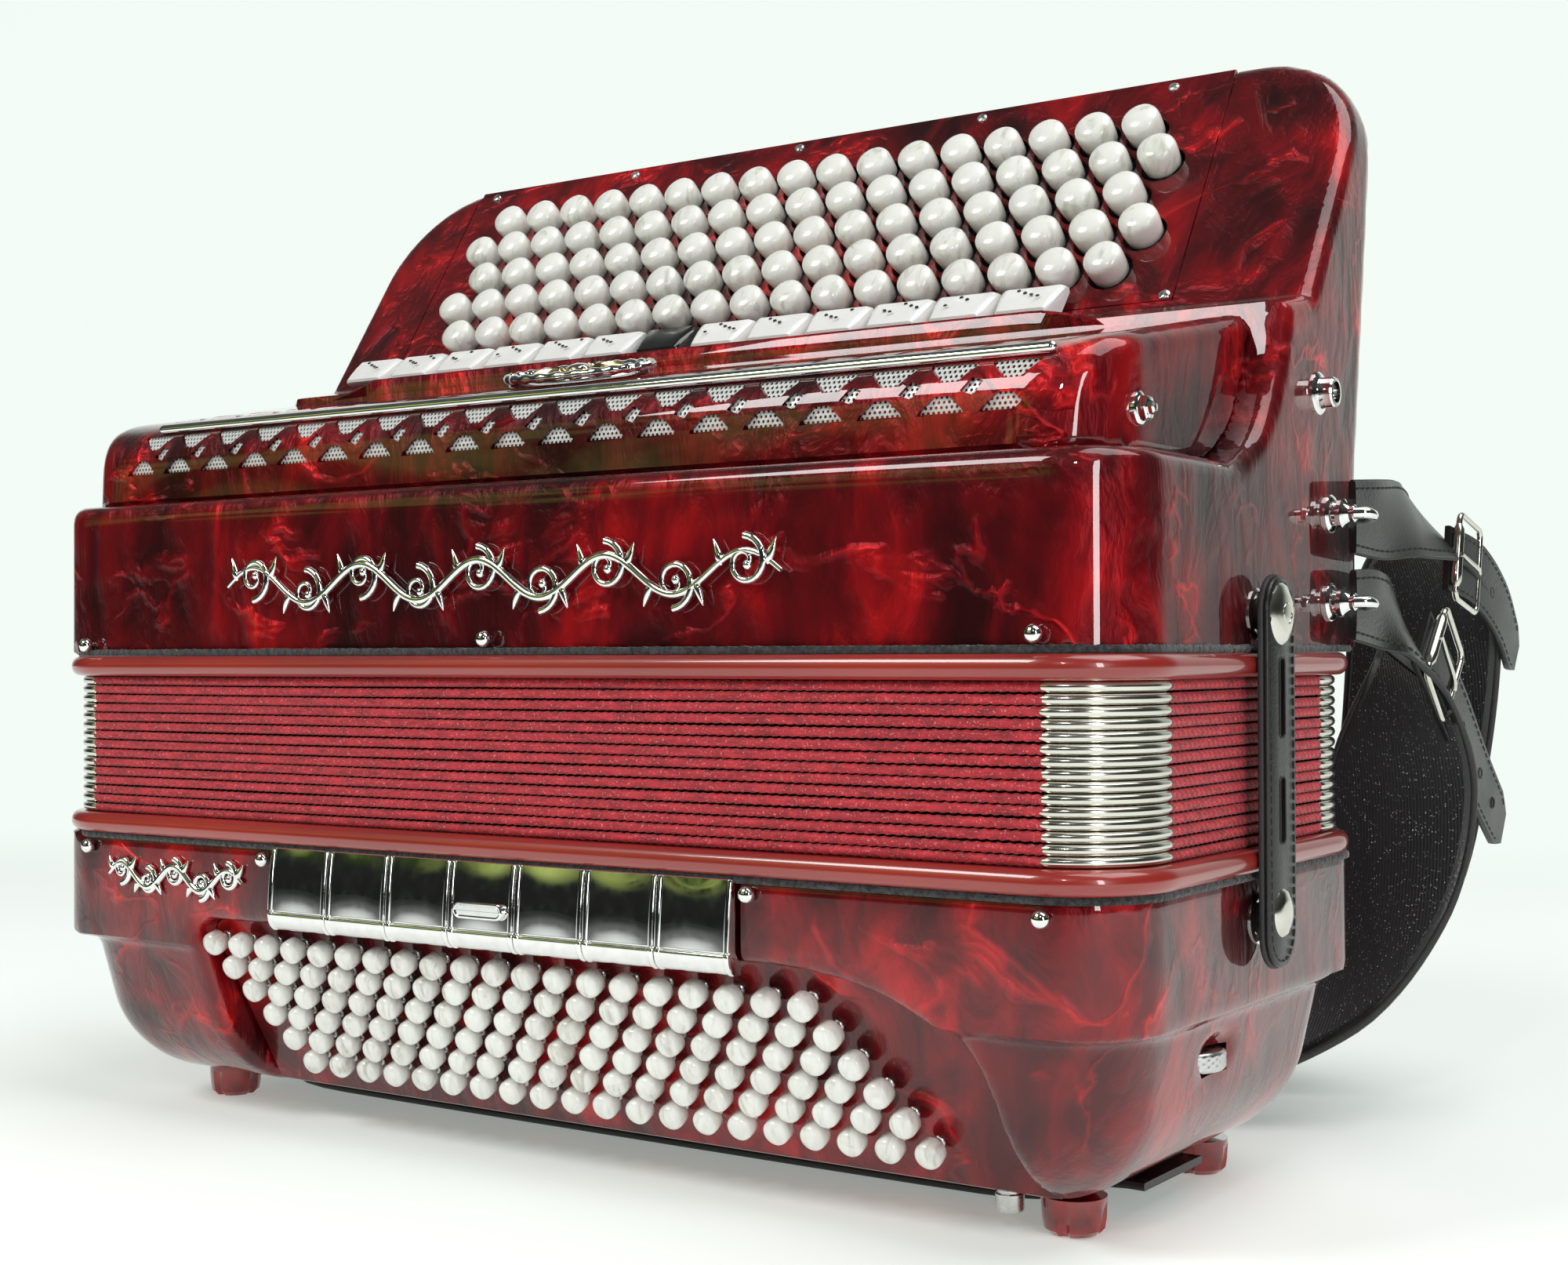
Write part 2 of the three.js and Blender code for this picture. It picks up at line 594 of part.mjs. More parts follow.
const treble = new THREE.Group();
treble.add(
  piece("treble_case", trebleCase(), CELLULOID),
  piece("bellows_frame_treble", bellowsFrame(TREBLE_FRAME_Z), FRAME_RED),
  piece("grille_cover", grilleCover(), CELLULOID),
  piece("grille_screen", grilleScreen(), STEEL),
  piece("grille_strip", bar(2.2, -186, 199, X, 0, 26.2, 264.2, 8), CHROME),
  piece("badge", badge(), CHROME),
  piece("treble_button_plate", trebleButtonPlate(), CELLULOID),
  piece("treble_reed_block", trebleReedBlock(), WOOD),
  piece("bellows_strap_right", bellowsStrap(1), LEATHER),
  piece("bellows_strap_left", bellowsStrap(-1), LEATHER),
  piece("shoulder_strap_upper", band(UPPER_STRAP), PADDING),
  piece("shoulder_strap_lower", band(LOWER_STRAP), PADDING),
);
BOARD_ROWS.forEach((spec, i) => {
  const x = BOARD_FIRST_X + spec.shift * BOARD_PITCH;
  const row = buttonRow(spec.count, BOARD_PITCH, x, -i * BOARD_ROW_STEP, TREBLE_CAP, 6, 1.5);
  treble.add(piece(`treble_button_row_${i + 1}`, onBoard(row), PEARL));
});
for (let i = 0; i < 13; i++) {
  treble.add(piece(`treble_register_${i + 1}`, trebleRegister(i), i === 6 ? BLACK : WHITE));
}

const accordion = new THREE.Group();
accordion.add(bass, bellows, treble);
const extent = new THREE.Box3().setFromObject(accordion);
const middle = extent.getCenter(new THREE.Vector3());
accordion.position.set(-middle.x, -middle.y, 0);

export default accordion;
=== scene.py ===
"""Chromatic button accordion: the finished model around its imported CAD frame.

Lengths are millimetres in the building frame (x along the case, y from the front of the bellows
frames, z up from the floor) until make() turns them into metres in the shared frame.
"""

import math

import bmesh
import bpy
import numpy as np
from mathutils import Matrix, Vector
from mathutils.geometry import delaunay_2d_cdt


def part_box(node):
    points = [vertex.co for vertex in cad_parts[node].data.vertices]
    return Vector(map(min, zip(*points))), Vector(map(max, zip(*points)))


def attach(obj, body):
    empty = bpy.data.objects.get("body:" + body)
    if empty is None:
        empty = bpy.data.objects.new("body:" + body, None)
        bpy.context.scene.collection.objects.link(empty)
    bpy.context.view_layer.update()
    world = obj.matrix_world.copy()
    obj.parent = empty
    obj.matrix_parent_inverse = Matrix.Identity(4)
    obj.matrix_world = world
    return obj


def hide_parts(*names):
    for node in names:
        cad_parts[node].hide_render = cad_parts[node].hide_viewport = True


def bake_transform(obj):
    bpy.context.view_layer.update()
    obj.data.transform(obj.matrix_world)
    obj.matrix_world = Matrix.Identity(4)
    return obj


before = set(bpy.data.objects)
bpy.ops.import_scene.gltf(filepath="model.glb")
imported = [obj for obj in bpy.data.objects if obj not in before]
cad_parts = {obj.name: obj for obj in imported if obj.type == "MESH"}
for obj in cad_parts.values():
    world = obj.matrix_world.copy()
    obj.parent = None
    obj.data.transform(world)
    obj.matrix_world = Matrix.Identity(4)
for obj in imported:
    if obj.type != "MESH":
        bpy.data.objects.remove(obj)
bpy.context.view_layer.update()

# ---- driving dimensions, taken from the frame where it holds them ----
MM = 0.001
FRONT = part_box("bellows_frame_bass")[0].y
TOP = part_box("treble_case")[1].z / MM
HALF = 226.0  # half the length of both cases
CASE_FRONT = 4.0
CASE_BACK = 191.0
FRONT_RADII = (20, 28)  # of both cases' front corners, at the left and at the right end
FRAME_GAP = 0.3  # between a case and its bellows frame
FRAME_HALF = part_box("bellows_frame_bass")[1].x / MM
FRAME_DEPTH = (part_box("bellows_frame_bass")[1].y - FRONT) / MM
FRAME_RADIUS = 32.0
BASS_FRAME = [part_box("bellows_frame_bass")[i].z / MM for i in (0, 1)]
TREBLE_FRAME = [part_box("bellows_frame_treble")[i].z / MM for i in (0, 1)]
BASS_LEDGE = 66.0
BASS_BOTTOM = 11.5
TREBLE_LEDGE = 230.0
FOLDS = 15
BOARD_TILT = math.radians(32.6)
BOARD = (195.1, 361.0)  # y, z of the board's face at its first row of caps
BOARD_PITCH = 18.93
BOARD_STEP = 16.4
BOARD_FIRST = -155.8
BOARD_ROWS = ((17, 0.0), (18, -0.475), (17, 0.053), (18, -0.429), (17, 0.095))
BASS_TILT = math.radians(22.66)
BASS_PLATE = (16.3, 69.9)
BASS_PITCH = 13.63
BASS_STEP = 9.23
BASS_SHIFT = 6.65
BASS_FIRST = -140.3
BASS_COLUMNS = 20
BASS_ROWS = 6
WHEEL_AT = (208, 84)
SNAP_Y = 100.0
SNAP_TREBLE = 184.4
SNAP_BASS = 92.0


# ---- mesh tools: a part is (points, faces), its points in millimetres ----
def join(parts):
    points, faces, start = [], [], 0
    for part_points, part_faces in parts:
        points.append(np.asarray(part_points, float).reshape(-1, 3))
        faces += [tuple(start + i for i in face) for face in part_faces]
        start += len(points[-1])
    return np.concatenate(points), faces


def moved(part, matrix):
    m = np.array(matrix)
    return np.asarray(part[0], float) @ m[:3, :3].T + m[:3, 3], part[1]


def basis(origin, across, along):
    """A frame at origin with x across, z along (made square) and y to complete it."""
    z = Vector(along).normalized()
    x = (Vector(across) - z * Vector(across).dot(z)).normalized()
    y = z.cross(x)
    rows = [[x[i], y[i], z[i], origin[i]] for i in range(3)]
    return Matrix(rows + [[0, 0, 0, 1]])


def flipped(part):
    """The part mirrored in the middle plane of the case."""
    return np.asarray(part[0], float) * (-1, 1, 1), [face[::-1] for face in part[1]]


def lathe(profile, steps=24):
    """A solid of revolution about z from (radius, height) pairs; ends on the axis close it."""
    points, rows = [], []
    for radius, height in profile:
        if radius < 1e-6:
            rows.append([len(points)] * steps)
            points.append((0, 0, height))
            continue
        rows.append(list(range(len(points), len(points) + steps)))
        for k in range(steps):
            a = 2 * math.pi * k / steps
            points.append((radius * math.cos(a), radius * math.sin(a), height))
    faces = []
    for low, high in zip(rows, rows[1:]):
        for k in range(steps):
            n = (k + 1) % steps
            quad = dict.fromkeys((low[k], low[n], high[n], high[k]))
            faces.append(tuple(quad))
    return np.array(points, float), faces


def loft(rings, closed=False):
    """Closed rings of points joined in order, capped at both ends unless the rings close up."""
    rings = [np.asarray(ring, float) for ring in rings]
    size = len(rings[0])
    faces = []
    last = len(rings) if closed else len(rings) - 1
    for r in range(last):
        a, b = r * size, ((r + 1) % len(rings)) * size
        for k in range(size):
            n = (k + 1) % size
            faces.append((a + k, a + n, b + n, b + k))
    if not closed:
        faces.append(tuple(range(size - 1, -1, -1)))
        faces.append(tuple(range(len(rings) * size - size, len(rings) * size)))
    return np.concatenate(rings), faces


def tube(path, radius, sides=8, closed=False):
    """A round tube along a path; radius may be one value or one for each point."""
    path = np.asarray(path, float)
    radii = np.broadcast_to(radius, len(path))
    if closed:
        tangents = np.roll(path, -1, 0) - np.roll(path, 1, 0)
    else:
        tangents = np.gradient(path, axis=0)
    tangents /= np.linalg.norm(tangents, axis=1)[:, None]
    side = np.cross(tangents[0], (0.31, 0.17, 0.93))
    rings = []
    for point, tangent, r in zip(path, tangents, radii):
        side = side - tangent * side.dot(tangent)
        side /= np.linalg.norm(side)
        up = np.cross(tangent, side)
        angles = 2 * np.pi * np.arange(sides) / sides
        rings.append(point + r * (np.outer(np.cos(angles), side) + np.outer(np.sin(angles), up)))
    return loft(rings, closed)


def slab(outline, low, high, bevel=0.4):
    """A flat outline given thickness along z, its edges eased by a small bevel."""
    flat = np.asarray(outline, float)
    ahead, behind = np.roll(flat, -1, 0) - flat, flat - np.roll(flat, 1, 0)
    normals = np.stack([ahead[:, 1] + behind[:, 1], -ahead[:, 0] - behind[:, 0]], 1)
    normals /= np.linalg.norm(normals, axis=1)[:, None] + 1e-9
    inner = flat - normals * bevel
    levels = ((inner, low), (flat, low + bevel), (flat, high - bevel), (inner, high))
    return loft([np.column_stack([ring, np.full(len(ring), z)]) for ring, z in levels])


def rounded(width, height, radius, steps=5):
    """A centred rectangle with round corners, anticlockwise."""
    points = []
    for quarter, (sx, sy) in enumerate(((1, 1), (-1, 1), (-1, -1), (1, -1))):
        for k in range(steps + 1):
            a = math.pi / 2 * (quarter + k / steps)
            x = sx * (width / 2 - radius) + radius * math.cos(a)
            points.append((x, sy * (height / 2 - radius) + radius * math.sin(a)))
    return points


def bend(start, control, end, steps=10):
    """The points of a quadratic curve after its start."""
    s, c, e = (np.array(p, float) for p in (start, control, end))
    t = np.arange(1, steps + 1)[:, None] / steps
    return [tuple(p) for p in (1 - t) ** 2 * s + 2 * t * (1 - t) * c + t**2 * e]


def spline(stations, count):
    """Smooth values through a list of stations, evenly spaced in station number."""
    s = np.asarray(stations, float)
    s = np.concatenate([[2 * s[0] - s[1]], s, [2 * s[-1] - s[-2]]])
    out = []
    for u in np.linspace(0, len(s) - 3, count):
        i = min(int(u), len(s) - 4)
        t = u - i
        a, b, c, d = s[i : i + 4]
        curve = (2 * a - 5 * b + 4 * c - d) * t**2
        twist = (3 * b - a - 3 * c + d) * t**3
        out.append(0.5 * (2 * b + (c - a) * t + curve + twist))
    return np.array(out)


def make(name, part, material, body, sharp=40, slot=None, replaces=()):
    """The part as an object that rides on a body, smooth except at edges sharper than an angle.

    A slot is looked up in SLOTS for its material, unless another one or "" is given, but it is not given to
    the object.
    """
    points = np.asarray(part[0], float) * MM
    points[:, 1] += FRONT
    mesh = bpy.data.meshes.new(name)
    mesh.from_pydata(points.tolist(), [], [list(face) for face in part[1]])
    mesh.validate()
    shape = bmesh.new()
    shape.from_mesh(mesh)
    bmesh.ops.recalc_face_normals(shape, faces=shape.faces)
    shape.to_mesh(mesh)
    shape.free()
    mesh.shade_smooth()
    mesh.set_sharp_from_angle(angle=math.radians(sharp))
    mesh.materials.append(material)
    obj = bpy.data.objects.new(name, mesh)
    bpy.context.scene.collection.objects.link(obj)
    if body:
        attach(obj, body)
    slot = SLOTS.get(material) if slot is None else slot
    if replaces:
        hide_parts(*replaces)
    return obj


def cut(obj, *parts):
    """Takes the parts' solids out of an object that make() made."""
    tool = make("cutter", join(parts), obj.data.materials[0], None, slot="")
    boolean = obj.modifiers.new("cut", "BOOLEAN")
    boolean.object = tool
    boolean.operation = "DIFFERENCE"
    boolean.solver = "EXACT"
    graph = bpy.context.evaluated_depsgraph_get()
    mesh = bpy.data.meshes.new_from_object(obj.evaluated_get(graph))
    obj.modifiers.clear()
    obj.data = mesh
    mesh.shade_smooth()
    mesh.set_sharp_from_angle(angle=math.radians(40))
    bpy.data.objects.remove(tool)


def box_part(low, high):
    (x0, y0, z0), (x1, y1, z1) = low, high
    ring = [(x0, y0), (x1, y0), (x1, y1), (x0, y1)]
    return loft([[(x, y, z) for x, y in ring] for z in (z0, z1)])


# ---- smooth solids as fields: below zero inside, the distance in millimetres near the surface ----
def both(a, b, radius):
    """Where two solids overlap, with a round edge."""
    round_edge = np.hypot(np.maximum(a + radius, 0), np.maximum(b + radius, 0))
    return np.minimum(-radius, np.maximum(a, b)) + round_edge


def either(a, b, radius):
    """Two solids together, with a fillet between them."""
    return -both(-a, -b, radius)


def outline_field(outline, a, b):
    """Distance to a closed outline in the plane of a and b."""
    nearest = np.full(np.broadcast(a, b).shape, 1e9)
    inside = np.zeros(nearest.shape, bool)
    points = list(outline)
    for (a0, b0), (a1, b1) in zip(points, points[1:] + points[:1]):
        da, db = a1 - a0, b1 - b0
        if abs(da) + abs(db) < 1e-9:
            continue
        t = np.clip(((a - a0) * da + (b - b0) * db) / (da * da + db * db), 0, 1)
        nearest = np.minimum(nearest, (a - a0 - t * da) ** 2 + (b - b0 - t * db) ** 2)
        if b0 != b1:
            crossing = ((b0 > b) != (b1 > b)) & (a < a0 + (b - b0) * da / db)
            inside ^= crossing
    return np.where(inside, -1, 1) * np.sqrt(nearest)


def plan_field(x, y, half, front, back, front_radius, back_radius):
    """Distance to a rectangle in plan with its own radius at the front and back corners."""
    middle = (front + back) / 2
    radius = np.where(y < middle, front_radius, back_radius)
    dx = np.abs(x) - half + radius
    dy = np.maximum(front - y, y - back) + radius
    outside = np.hypot(np.maximum(dx, 0), np.maximum(dy, 0))
    return outside + np.minimum(np.maximum(dx, dy), 0) - radius


CELL_CORNERS = [(i, j, k) for i in (0, 1) for j in (0, 1) for k in (0, 1)]


def surface(field, low, high, cell):
    """The zero surface of a field as quads, by surface nets, then moved onto the field exactly."""
    axes = [np.arange(a - 2 * cell, b + 3 * cell, cell) for a, b in zip(low, high)]
    value = field(*np.meshgrid(*axes, indexing="ij", sparse=True))
    value = np.broadcast_to(value, [len(a) for a in axes])
    inside = value < 0
    size = np.array(value.shape) - 1
    filled = np.zeros(size, int)
    for i, j, k in CELL_CORNERS:
        filled += inside[i : i + size[0], j : j + size[1], k : k + size[2]]
    cells = np.argwhere((filled > 0) & (filled < 8))
    number = np.full(size, -1)
    number[tuple(cells.T)] = np.arange(len(cells))
    total, hits = np.zeros((len(cells), 3)), np.zeros(len(cells))
    for corner in CELL_CORNERS:
        for axis in range(3):
            if corner[axis]:
                continue
            step = np.eye(3, dtype=int)[axis]
            start = cells + corner
            v0, v1 = value[tuple(start.T)], value[tuple((start + step).T)]
            crossed = (v0 < 0) != (v1 < 0)
            t = np.where(crossed, v0 / np.where(crossed, v0 - v1, 1), 0)
            total += crossed[:, None] * (np.array(corner) + t[:, None] * step)
            hits += crossed
    origin = np.array([a[0] for a in axes])
    points = origin + cell * (cells + total / hits[:, None])
    faces = []
    for axis in range(3):
        u, v = np.eye(3, dtype=int)[(axis + 1) % 3], np.eye(3, dtype=int)[(axis + 2) % 3]
        ahead = np.roll(inside, -1, axis)
        edges = np.argwhere(inside != ahead)
        edges = edges[((edges > 0) & (edges < size)).all(1)]
        quad = np.stack([number[tuple((edges - w).T)] for w in (u + v, v, 0 * u, u)], 1)
        outward = inside[tuple(edges.T)]
        quad = np.where(outward[:, None], quad, quad[:, ::-1])
        faces += quad[(quad >= 0).all(1)].tolist()
    return settle(points, field, cell), faces


def settle(points, field, cell):
    """Moves points along the field's slope until they lie on its zero surface."""
    h = 0.02
    for _ in range(4):
        value = field(*points.T)
        rise = [field(*(points + h * e).T) - field(*(points - h * e).T) for e in np.eye(3)]
        slope = np.stack(rise, 1) / (2 * h)
        step = value / np.maximum((slope**2).sum(1), 0.25)
        points = points - np.clip(step, -cell, cell)[:, None] * slope
    return points


# ---- materials ----
def add_node(tree, kind, inputs, settings):
    """A node in a shader tree, its inputs given as values or as other nodes' outputs."""
    node = tree.nodes.new("ShaderNode" + kind)
    for key, value in settings.items():
        setattr(node, key, value)
    for key, value in inputs.items():
        if isinstance(value, bpy.types.NodeSocket):
            tree.links.new(value, node.inputs[key])
        else:
            node.inputs[key].default_value = value
    return node


class Paint:
    """A node material, and the nodes that its colours are built from."""

    def __init__(self, name, **shader):
        self.material = bpy.data.materials.new(name)
        self.material.use_nodes = True
        self.tree = self.material.node_tree
        self.shader = self.tree.nodes["Principled BSDF"]
        for socket, value in shader.items():
            self.shader.inputs[socket.replace("_", " ")].default_value = value
        self.place = self.node("TexCoord").outputs["Object"]

    def node(self, kind, inputs=None, **settings):
        return add_node(self.tree, kind, inputs or {}, settings)

    def math(self, operation, *values, clamp=False):
        inputs = dict(enumerate(values))
        return self.node("Math", inputs, operation=operation, use_clamp=clamp).outputs[0]

    def vector(self, operation, *values):
        node = self.node("VectorMath", dict(enumerate(values)), operation=operation)
        return node.outputs["Value" if operation in ("DOT_PRODUCT", "LENGTH") else "Vector"]

    def noise(self, scale, place=None, detail=4.0, roughness=0.5, distortion=0.0, output="Fac"):
        inputs = {"Vector": place or self.place, "Scale": scale, "Detail": detail}
        inputs.update({"Roughness": roughness, "Distortion": distortion})
        return self.node("TexNoise", inputs).outputs[output]

    def stretched(self, scale, turn=(0, 0, 0), place=None):
        inputs = {"Vector": place or self.place, "Scale": scale, "Rotation": turn}
        return self.node("Mapping", inputs).outputs[0]

    def warped(self, scale, amount):
        shift = self.vector("SUBTRACT", self.noise(scale, output="Color"), (0.5, 0.5, 0.5))
        scaled = self.node("VectorMath", {0: shift, "Scale": amount}, operation="SCALE").outputs[0]
        return self.vector("ADD", self.place, scaled)

    def between(self, value, low, high, out_low=0.0, out_high=1.0):
        names = ("Value", "From Min", "From Max", "To Min", "To Max")
        values = dict(zip(names, (value, low, high, out_low, out_high)))
        return self.node("MapRange", values, interpolation_type="SMOOTHSTEP").outputs[0]

    def ramp(self, value, *stops):
        node = self.node("ValToRGB", {"Fac": value})
        ramp = node.color_ramp
        while len(ramp.elements) < len(stops):
            ramp.elements.new(1.0)
        for element, (position, color) in zip(ramp.elements, stops):
            element.position = position
            element.color = (*color, 1.0)
        return node.outputs[0]

    def blend(self, factor, a, b):
        a, b = (c if isinstance(c, bpy.types.NodeSocket) else (*c, 1.0) for c in (a, b))
        return self.node("Mix", {0: factor, 6: a, 7: b}, data_type="RGBA").outputs[2]

    def mottle(self, scale, low, high, detail=4.0):
        """Colours the paint between two tones by a noise, and returns the noise."""
        tone = self.noise(scale, detail=detail)
        self.color(self.ramp(tone, (0.3, low), (0.7, high)))
        return tone

    def color(self, socket):
        self.tree.links.new(socket, self.shader.inputs["Base Color"])

    def roughness(self, value, low, high):
        self.tree.links.new(self.between(value, 0.3, 0.7, low, high), self.shader.inputs["Roughness"])

    def bump(self, height, distance, strength=1.0):
        inputs = {"Height": height, "Distance": distance, "Strength": strength}
        normal = self.node("Bump", inputs).outputs[0]
        self.tree.links.new(normal, self.shader.inputs["Normal"])


def folds(paint, place, scale, sharp):
    """Crumpled folds: 1 on the crest of a wandering line, falling off on both sides of it."""
    wander = paint.noise(scale, place, 3.5, 0.5, 0.5)
    line = paint.math("ABSOLUTE", paint.math("SUBTRACT", wander, 0.5))
    return paint.math("MULTIPLY_ADD", line, -sharp, 1.0, clamp=True)


def pearloid():
    """Deep red pearl celluloid: satin folds that catch the light under a smooth clear gloss."""
    paint = Paint(
        "pearloid",
        Metallic=0.5,
        Roughness=0.42,
        Specular_IOR_Level=0.2,
        Coat_Weight=1.0,
        Coat_Roughness=0.02,
        Coat_IOR=1.5,
    )
    bent = paint.warped(14.0, 0.02)
    upright = paint.stretched((1.0, 1.0, 0.42), (0.3, 0.25, 0.0), bent)
    slanted = paint.stretched((0.6, 1.0, 1.0), (0.2, 0.9, 0.4), bent)
    streaks = paint.noise(52.0, upright, 5.0, 0.56, 0.6)
    cloud = paint.noise(12.0, detail=3.0, distortion=0.9)
    broad = folds(paint, upright, 20.0, 9.0)
    thin = folds(paint, slanted, 27.0, 34.0)
    gone = paint.between(paint.noise(34.0, detail=2.0), 0.42, 0.60)
    value = paint.math("MULTIPLY", paint.between(streaks, 0.30, 0.72), 0.34)
    value = paint.math("MULTIPLY_ADD", paint.between(cloud, 0.34, 0.68), 0.30, value)
    value = paint.math("MULTIPLY_ADD", broad, 0.20, value)
    value = paint.math("MULTIPLY_ADD", paint.math("MULTIPLY", thin, gone), 0.30, value)
    deep, dark, red = (0.030, 0.0004, 0.0015), (0.085, 0.0009, 0.0035), (0.20, 0.0020, 0.006)
    bright, hot = (0.46, 0.0055, 0.009), (0.88, 0.024, 0.016)
    paint.color(paint.ramp(value, (0.08, deep), (0.28, dark), (0.50, red), (0.74, bright), (0.98, hot)))
    paint.bump(value, 0.004, 0.8)
    return paint.material


def lacquer():
    paint = Paint("frame_lacquer", Roughness=0.3, Coat_Weight=0.9, Coat_Roughness=0.05)
    paint.mottle(11.0, (0.24, 0.016, 0.014), (0.36, 0.026, 0.018), 3.0)
    return paint.material


def cloth():
    paint = Paint("bellows_cloth", Roughness=0.62, Sheen_Weight=0.25, Sheen_Roughness=0.4)
    tone = paint.noise(160.0, paint.stretched((1.0, 1.0, 3.0)), 3.0)
    fibre = paint.noise(1500.0, detail=2.0)
    base = paint.ramp(tone, (0.3, (0.27, 0.007, 0.016)), (0.72, (0.60, 0.024, 0.040)))
    paint.color(paint.blend(paint.between(fibre, 0.58, 0.72), base, (0.78, 0.20, 0.22)))
    paint.bump(fibre, 0.0001, 0.5)
    return paint.material


def metal(name, low, high, rough_low, rough_high, grain=220.0):
    paint = Paint(name, Metallic=1.0)
    paint.roughness(paint.mottle(grain, low, high, 3.0), rough_low, rough_high)
    return paint.material


def pearl(name, shade, white, scale):
    paint = Paint(name, Roughness=0.25, Coat_Weight=0.6, Coat_Roughness=0.06, Subsurface_Weight=0.1)
    paint.shader.inputs["Subsurface Radius"].default_value = (0.003, 0.003, 0.002)
    marbled = paint.stretched((1.0, 0.6, 0.25), (0.4, 0.3, 0.6))
    swirl = paint.noise(scale, marbled, 5.0, 0.55, 2.2)
    cap = paint.node("TexVoronoi", {"Vector": paint.place, "Scale": 55.0}).outputs["Color"]
    tint = paint.node("SeparateColor", {"Color": cap}).outputs["Red"]
    value = paint.math("MULTIPLY_ADD", tint, 0.16, swirl)
    paint.color(paint.ramp(value, (0.33, shade), (0.52, white), (0.72, (0.93, 0.94, 0.89))))
    return paint.material


def plastic(name, low, high, roughness, coat=0.4, scale=60.0):
    paint = Paint(name, Coat_Weight=coat, Coat_Roughness=0.06)
    paint.roughness(paint.mottle(scale, low, high), roughness * 0.85, roughness * 1.15)
    return paint.material


def leather(name, low, high, roughness, grain=900.0, depth=0.00012):
    paint = Paint(name, Coat_Weight=0.12, Coat_Roughness=0.3)
    creases = paint.node("TexVoronoi", {"Vector": paint.warped(300.0, 0.001), "Scale": grain})
    paint.roughness(paint.mottle(28.0, low, high), roughness * 0.8, roughness * 1.2)
    paint.bump(creases.outputs["Distance"], depth, 0.6)
    return paint.material


def glitter_weave():
    """The straps' lining: black knit with bright flecks in its threads."""
    paint = Paint("strap_lining", Roughness=0.75, Sheen_Weight=0.2)
    flecks = paint.node("TexVoronoi", {"Vector": paint.place, "Scale": 1500.0})
    chance = paint.node("SeparateColor", {"Color": flecks.outputs["Color"]}).outputs["Green"]
    small = paint.between(flecks.outputs["Distance"], 0.18, 0.34, 1.0, 0.0)
    shine = paint.math("MULTIPLY", paint.between(chance, 0.80, 0.88), small)
    paint.color(paint.blend(shine, (0.006, 0.006, 0.008), (0.75, 0.75, 0.82)))
    paint.tree.links.new(shine, paint.shader.inputs["Metallic"])
    rows = paint.node("TexWave", {"Vector": paint.place, "Scale": 260.0, "Distortion": 1.5}).outputs["Fac"]
    paint.bump(rows, 0.0004, 0.6)
    return paint.material


def felt():
    paint = Paint("felt_gasket", Roughness=0.95, Sheen_Weight=0.35)
    fibre = paint.noise(700.0, detail=4.0)
    paint.color(paint.ramp(fibre, (0.35, (0.008, 0.008, 0.009)), (0.7, (0.05, 0.05, 0.055))))
    paint.bump(fibre, 0.0006)
    return paint.material


def wood():
    paint = Paint("reed_wood", Roughness=0.55)
    grain = paint.noise(60.0, paint.stretched((0.08, 1.0, 1.0)), 6.0, 0.6, 0.8)
    paint.color(paint.ramp(grain, (0.3, (0.30, 0.16, 0.07)), (0.7, (0.58, 0.36, 0.17))))
    paint.bump(grain, 0.0002)
    return paint.material


PEARLOID = pearloid()
LACQUER = lacquer()
CLOTH = cloth()
CHROME = metal("chrome", (0.80, 0.80, 0.79), (0.90, 0.90, 0.89), 0.03, 0.09)
NICKEL = metal("nickel", (0.66, 0.64, 0.57), (0.76, 0.74, 0.67), 0.15, 0.21, 60.0)
STEEL = metal("steel", (0.55, 0.55, 0.54), (0.72, 0.72, 0.71), 0.22, 0.38, 400.0)
PEARL = pearl("treble_pearl", (0.60, 0.60, 0.52), (0.90, 0.91, 0.85), 110.0)
BASS_PEARL = pearl("bass_pearl", (0.56, 0.545, 0.48), (0.84, 0.83, 0.79), 140.0)
WHITE = plastic("white_plastic", (0.88, 0.88, 0.86), (0.93, 0.93, 0.915), 0.25)
BLACK = plastic("black_plastic", (0.004, 0.004, 0.004), (0.014, 0.015, 0.014), 0.18, 0.8)
INK = plastic("dark_mark", (0.010, 0.010, 0.010), (0.03, 0.03, 0.03), 0.5, 0.1)
RUBY = plastic("ruby_plastic", (0.13, 0.004, 0.006), (0.42, 0.016, 0.012), 0.12, 1.0, 120.0)
LEATHER = leather("strap_leather", (0.006, 0.006, 0.006), (0.018, 0.020, 0.018), 0.36)
EDGE = leather("strap_edge", (0.010, 0.010, 0.010), (0.05, 0.05, 0.05), 0.7, 600.0, 0.0003)
LINING = glitter_weave()
THREAD = plastic("stitch_thread", (0.004, 0.004, 0.004), (0.015, 0.015, 0.015), 0.6, 0.0, 900.0)
FELT = felt()
WOOD = wood()
# The cloth between the ridges is painted far darker than the ridges' cloth: painted shade in the folds'
# valleys.
SHADED_GUSSET = plastic("gusset_cloth_painted_shade", (0.10, 0.004, 0.010), (0.17, 0.008, 0.018), 0.8, 0.0, 300.0)
SCREEN = plastic("screen_metal", (0.62, 0.63, 0.61), (0.78, 0.79, 0.77), 0.3, 0.3, 500.0)
GILT = metal("gilt", (0.42, 0.30, 0.12), (0.62, 0.50, 0.26), 0.15, 0.3, 120.0)

# The slot named for each material; a leather's depends on its strap, so make() is told it, though make()
# gives no object a slot.
SLOTS = {
    PEARLOID: "pearloid_case",
    LACQUER: "frame_lacquer",
    CLOTH: "bellows_cloth",
    SHADED_GUSSET: "bellows_cloth",
    CHROME: "chrome_trim",
    NICKEL: "steel_parts",
    STEEL: "steel_parts",
    SCREEN: "steel_parts",
    PEARL: "pearl_button",
    BASS_PEARL: "pearl_button",
    WHITE: "white_tab",
    BLACK: "black_tab",
    RUBY: "foot_plastic",
}


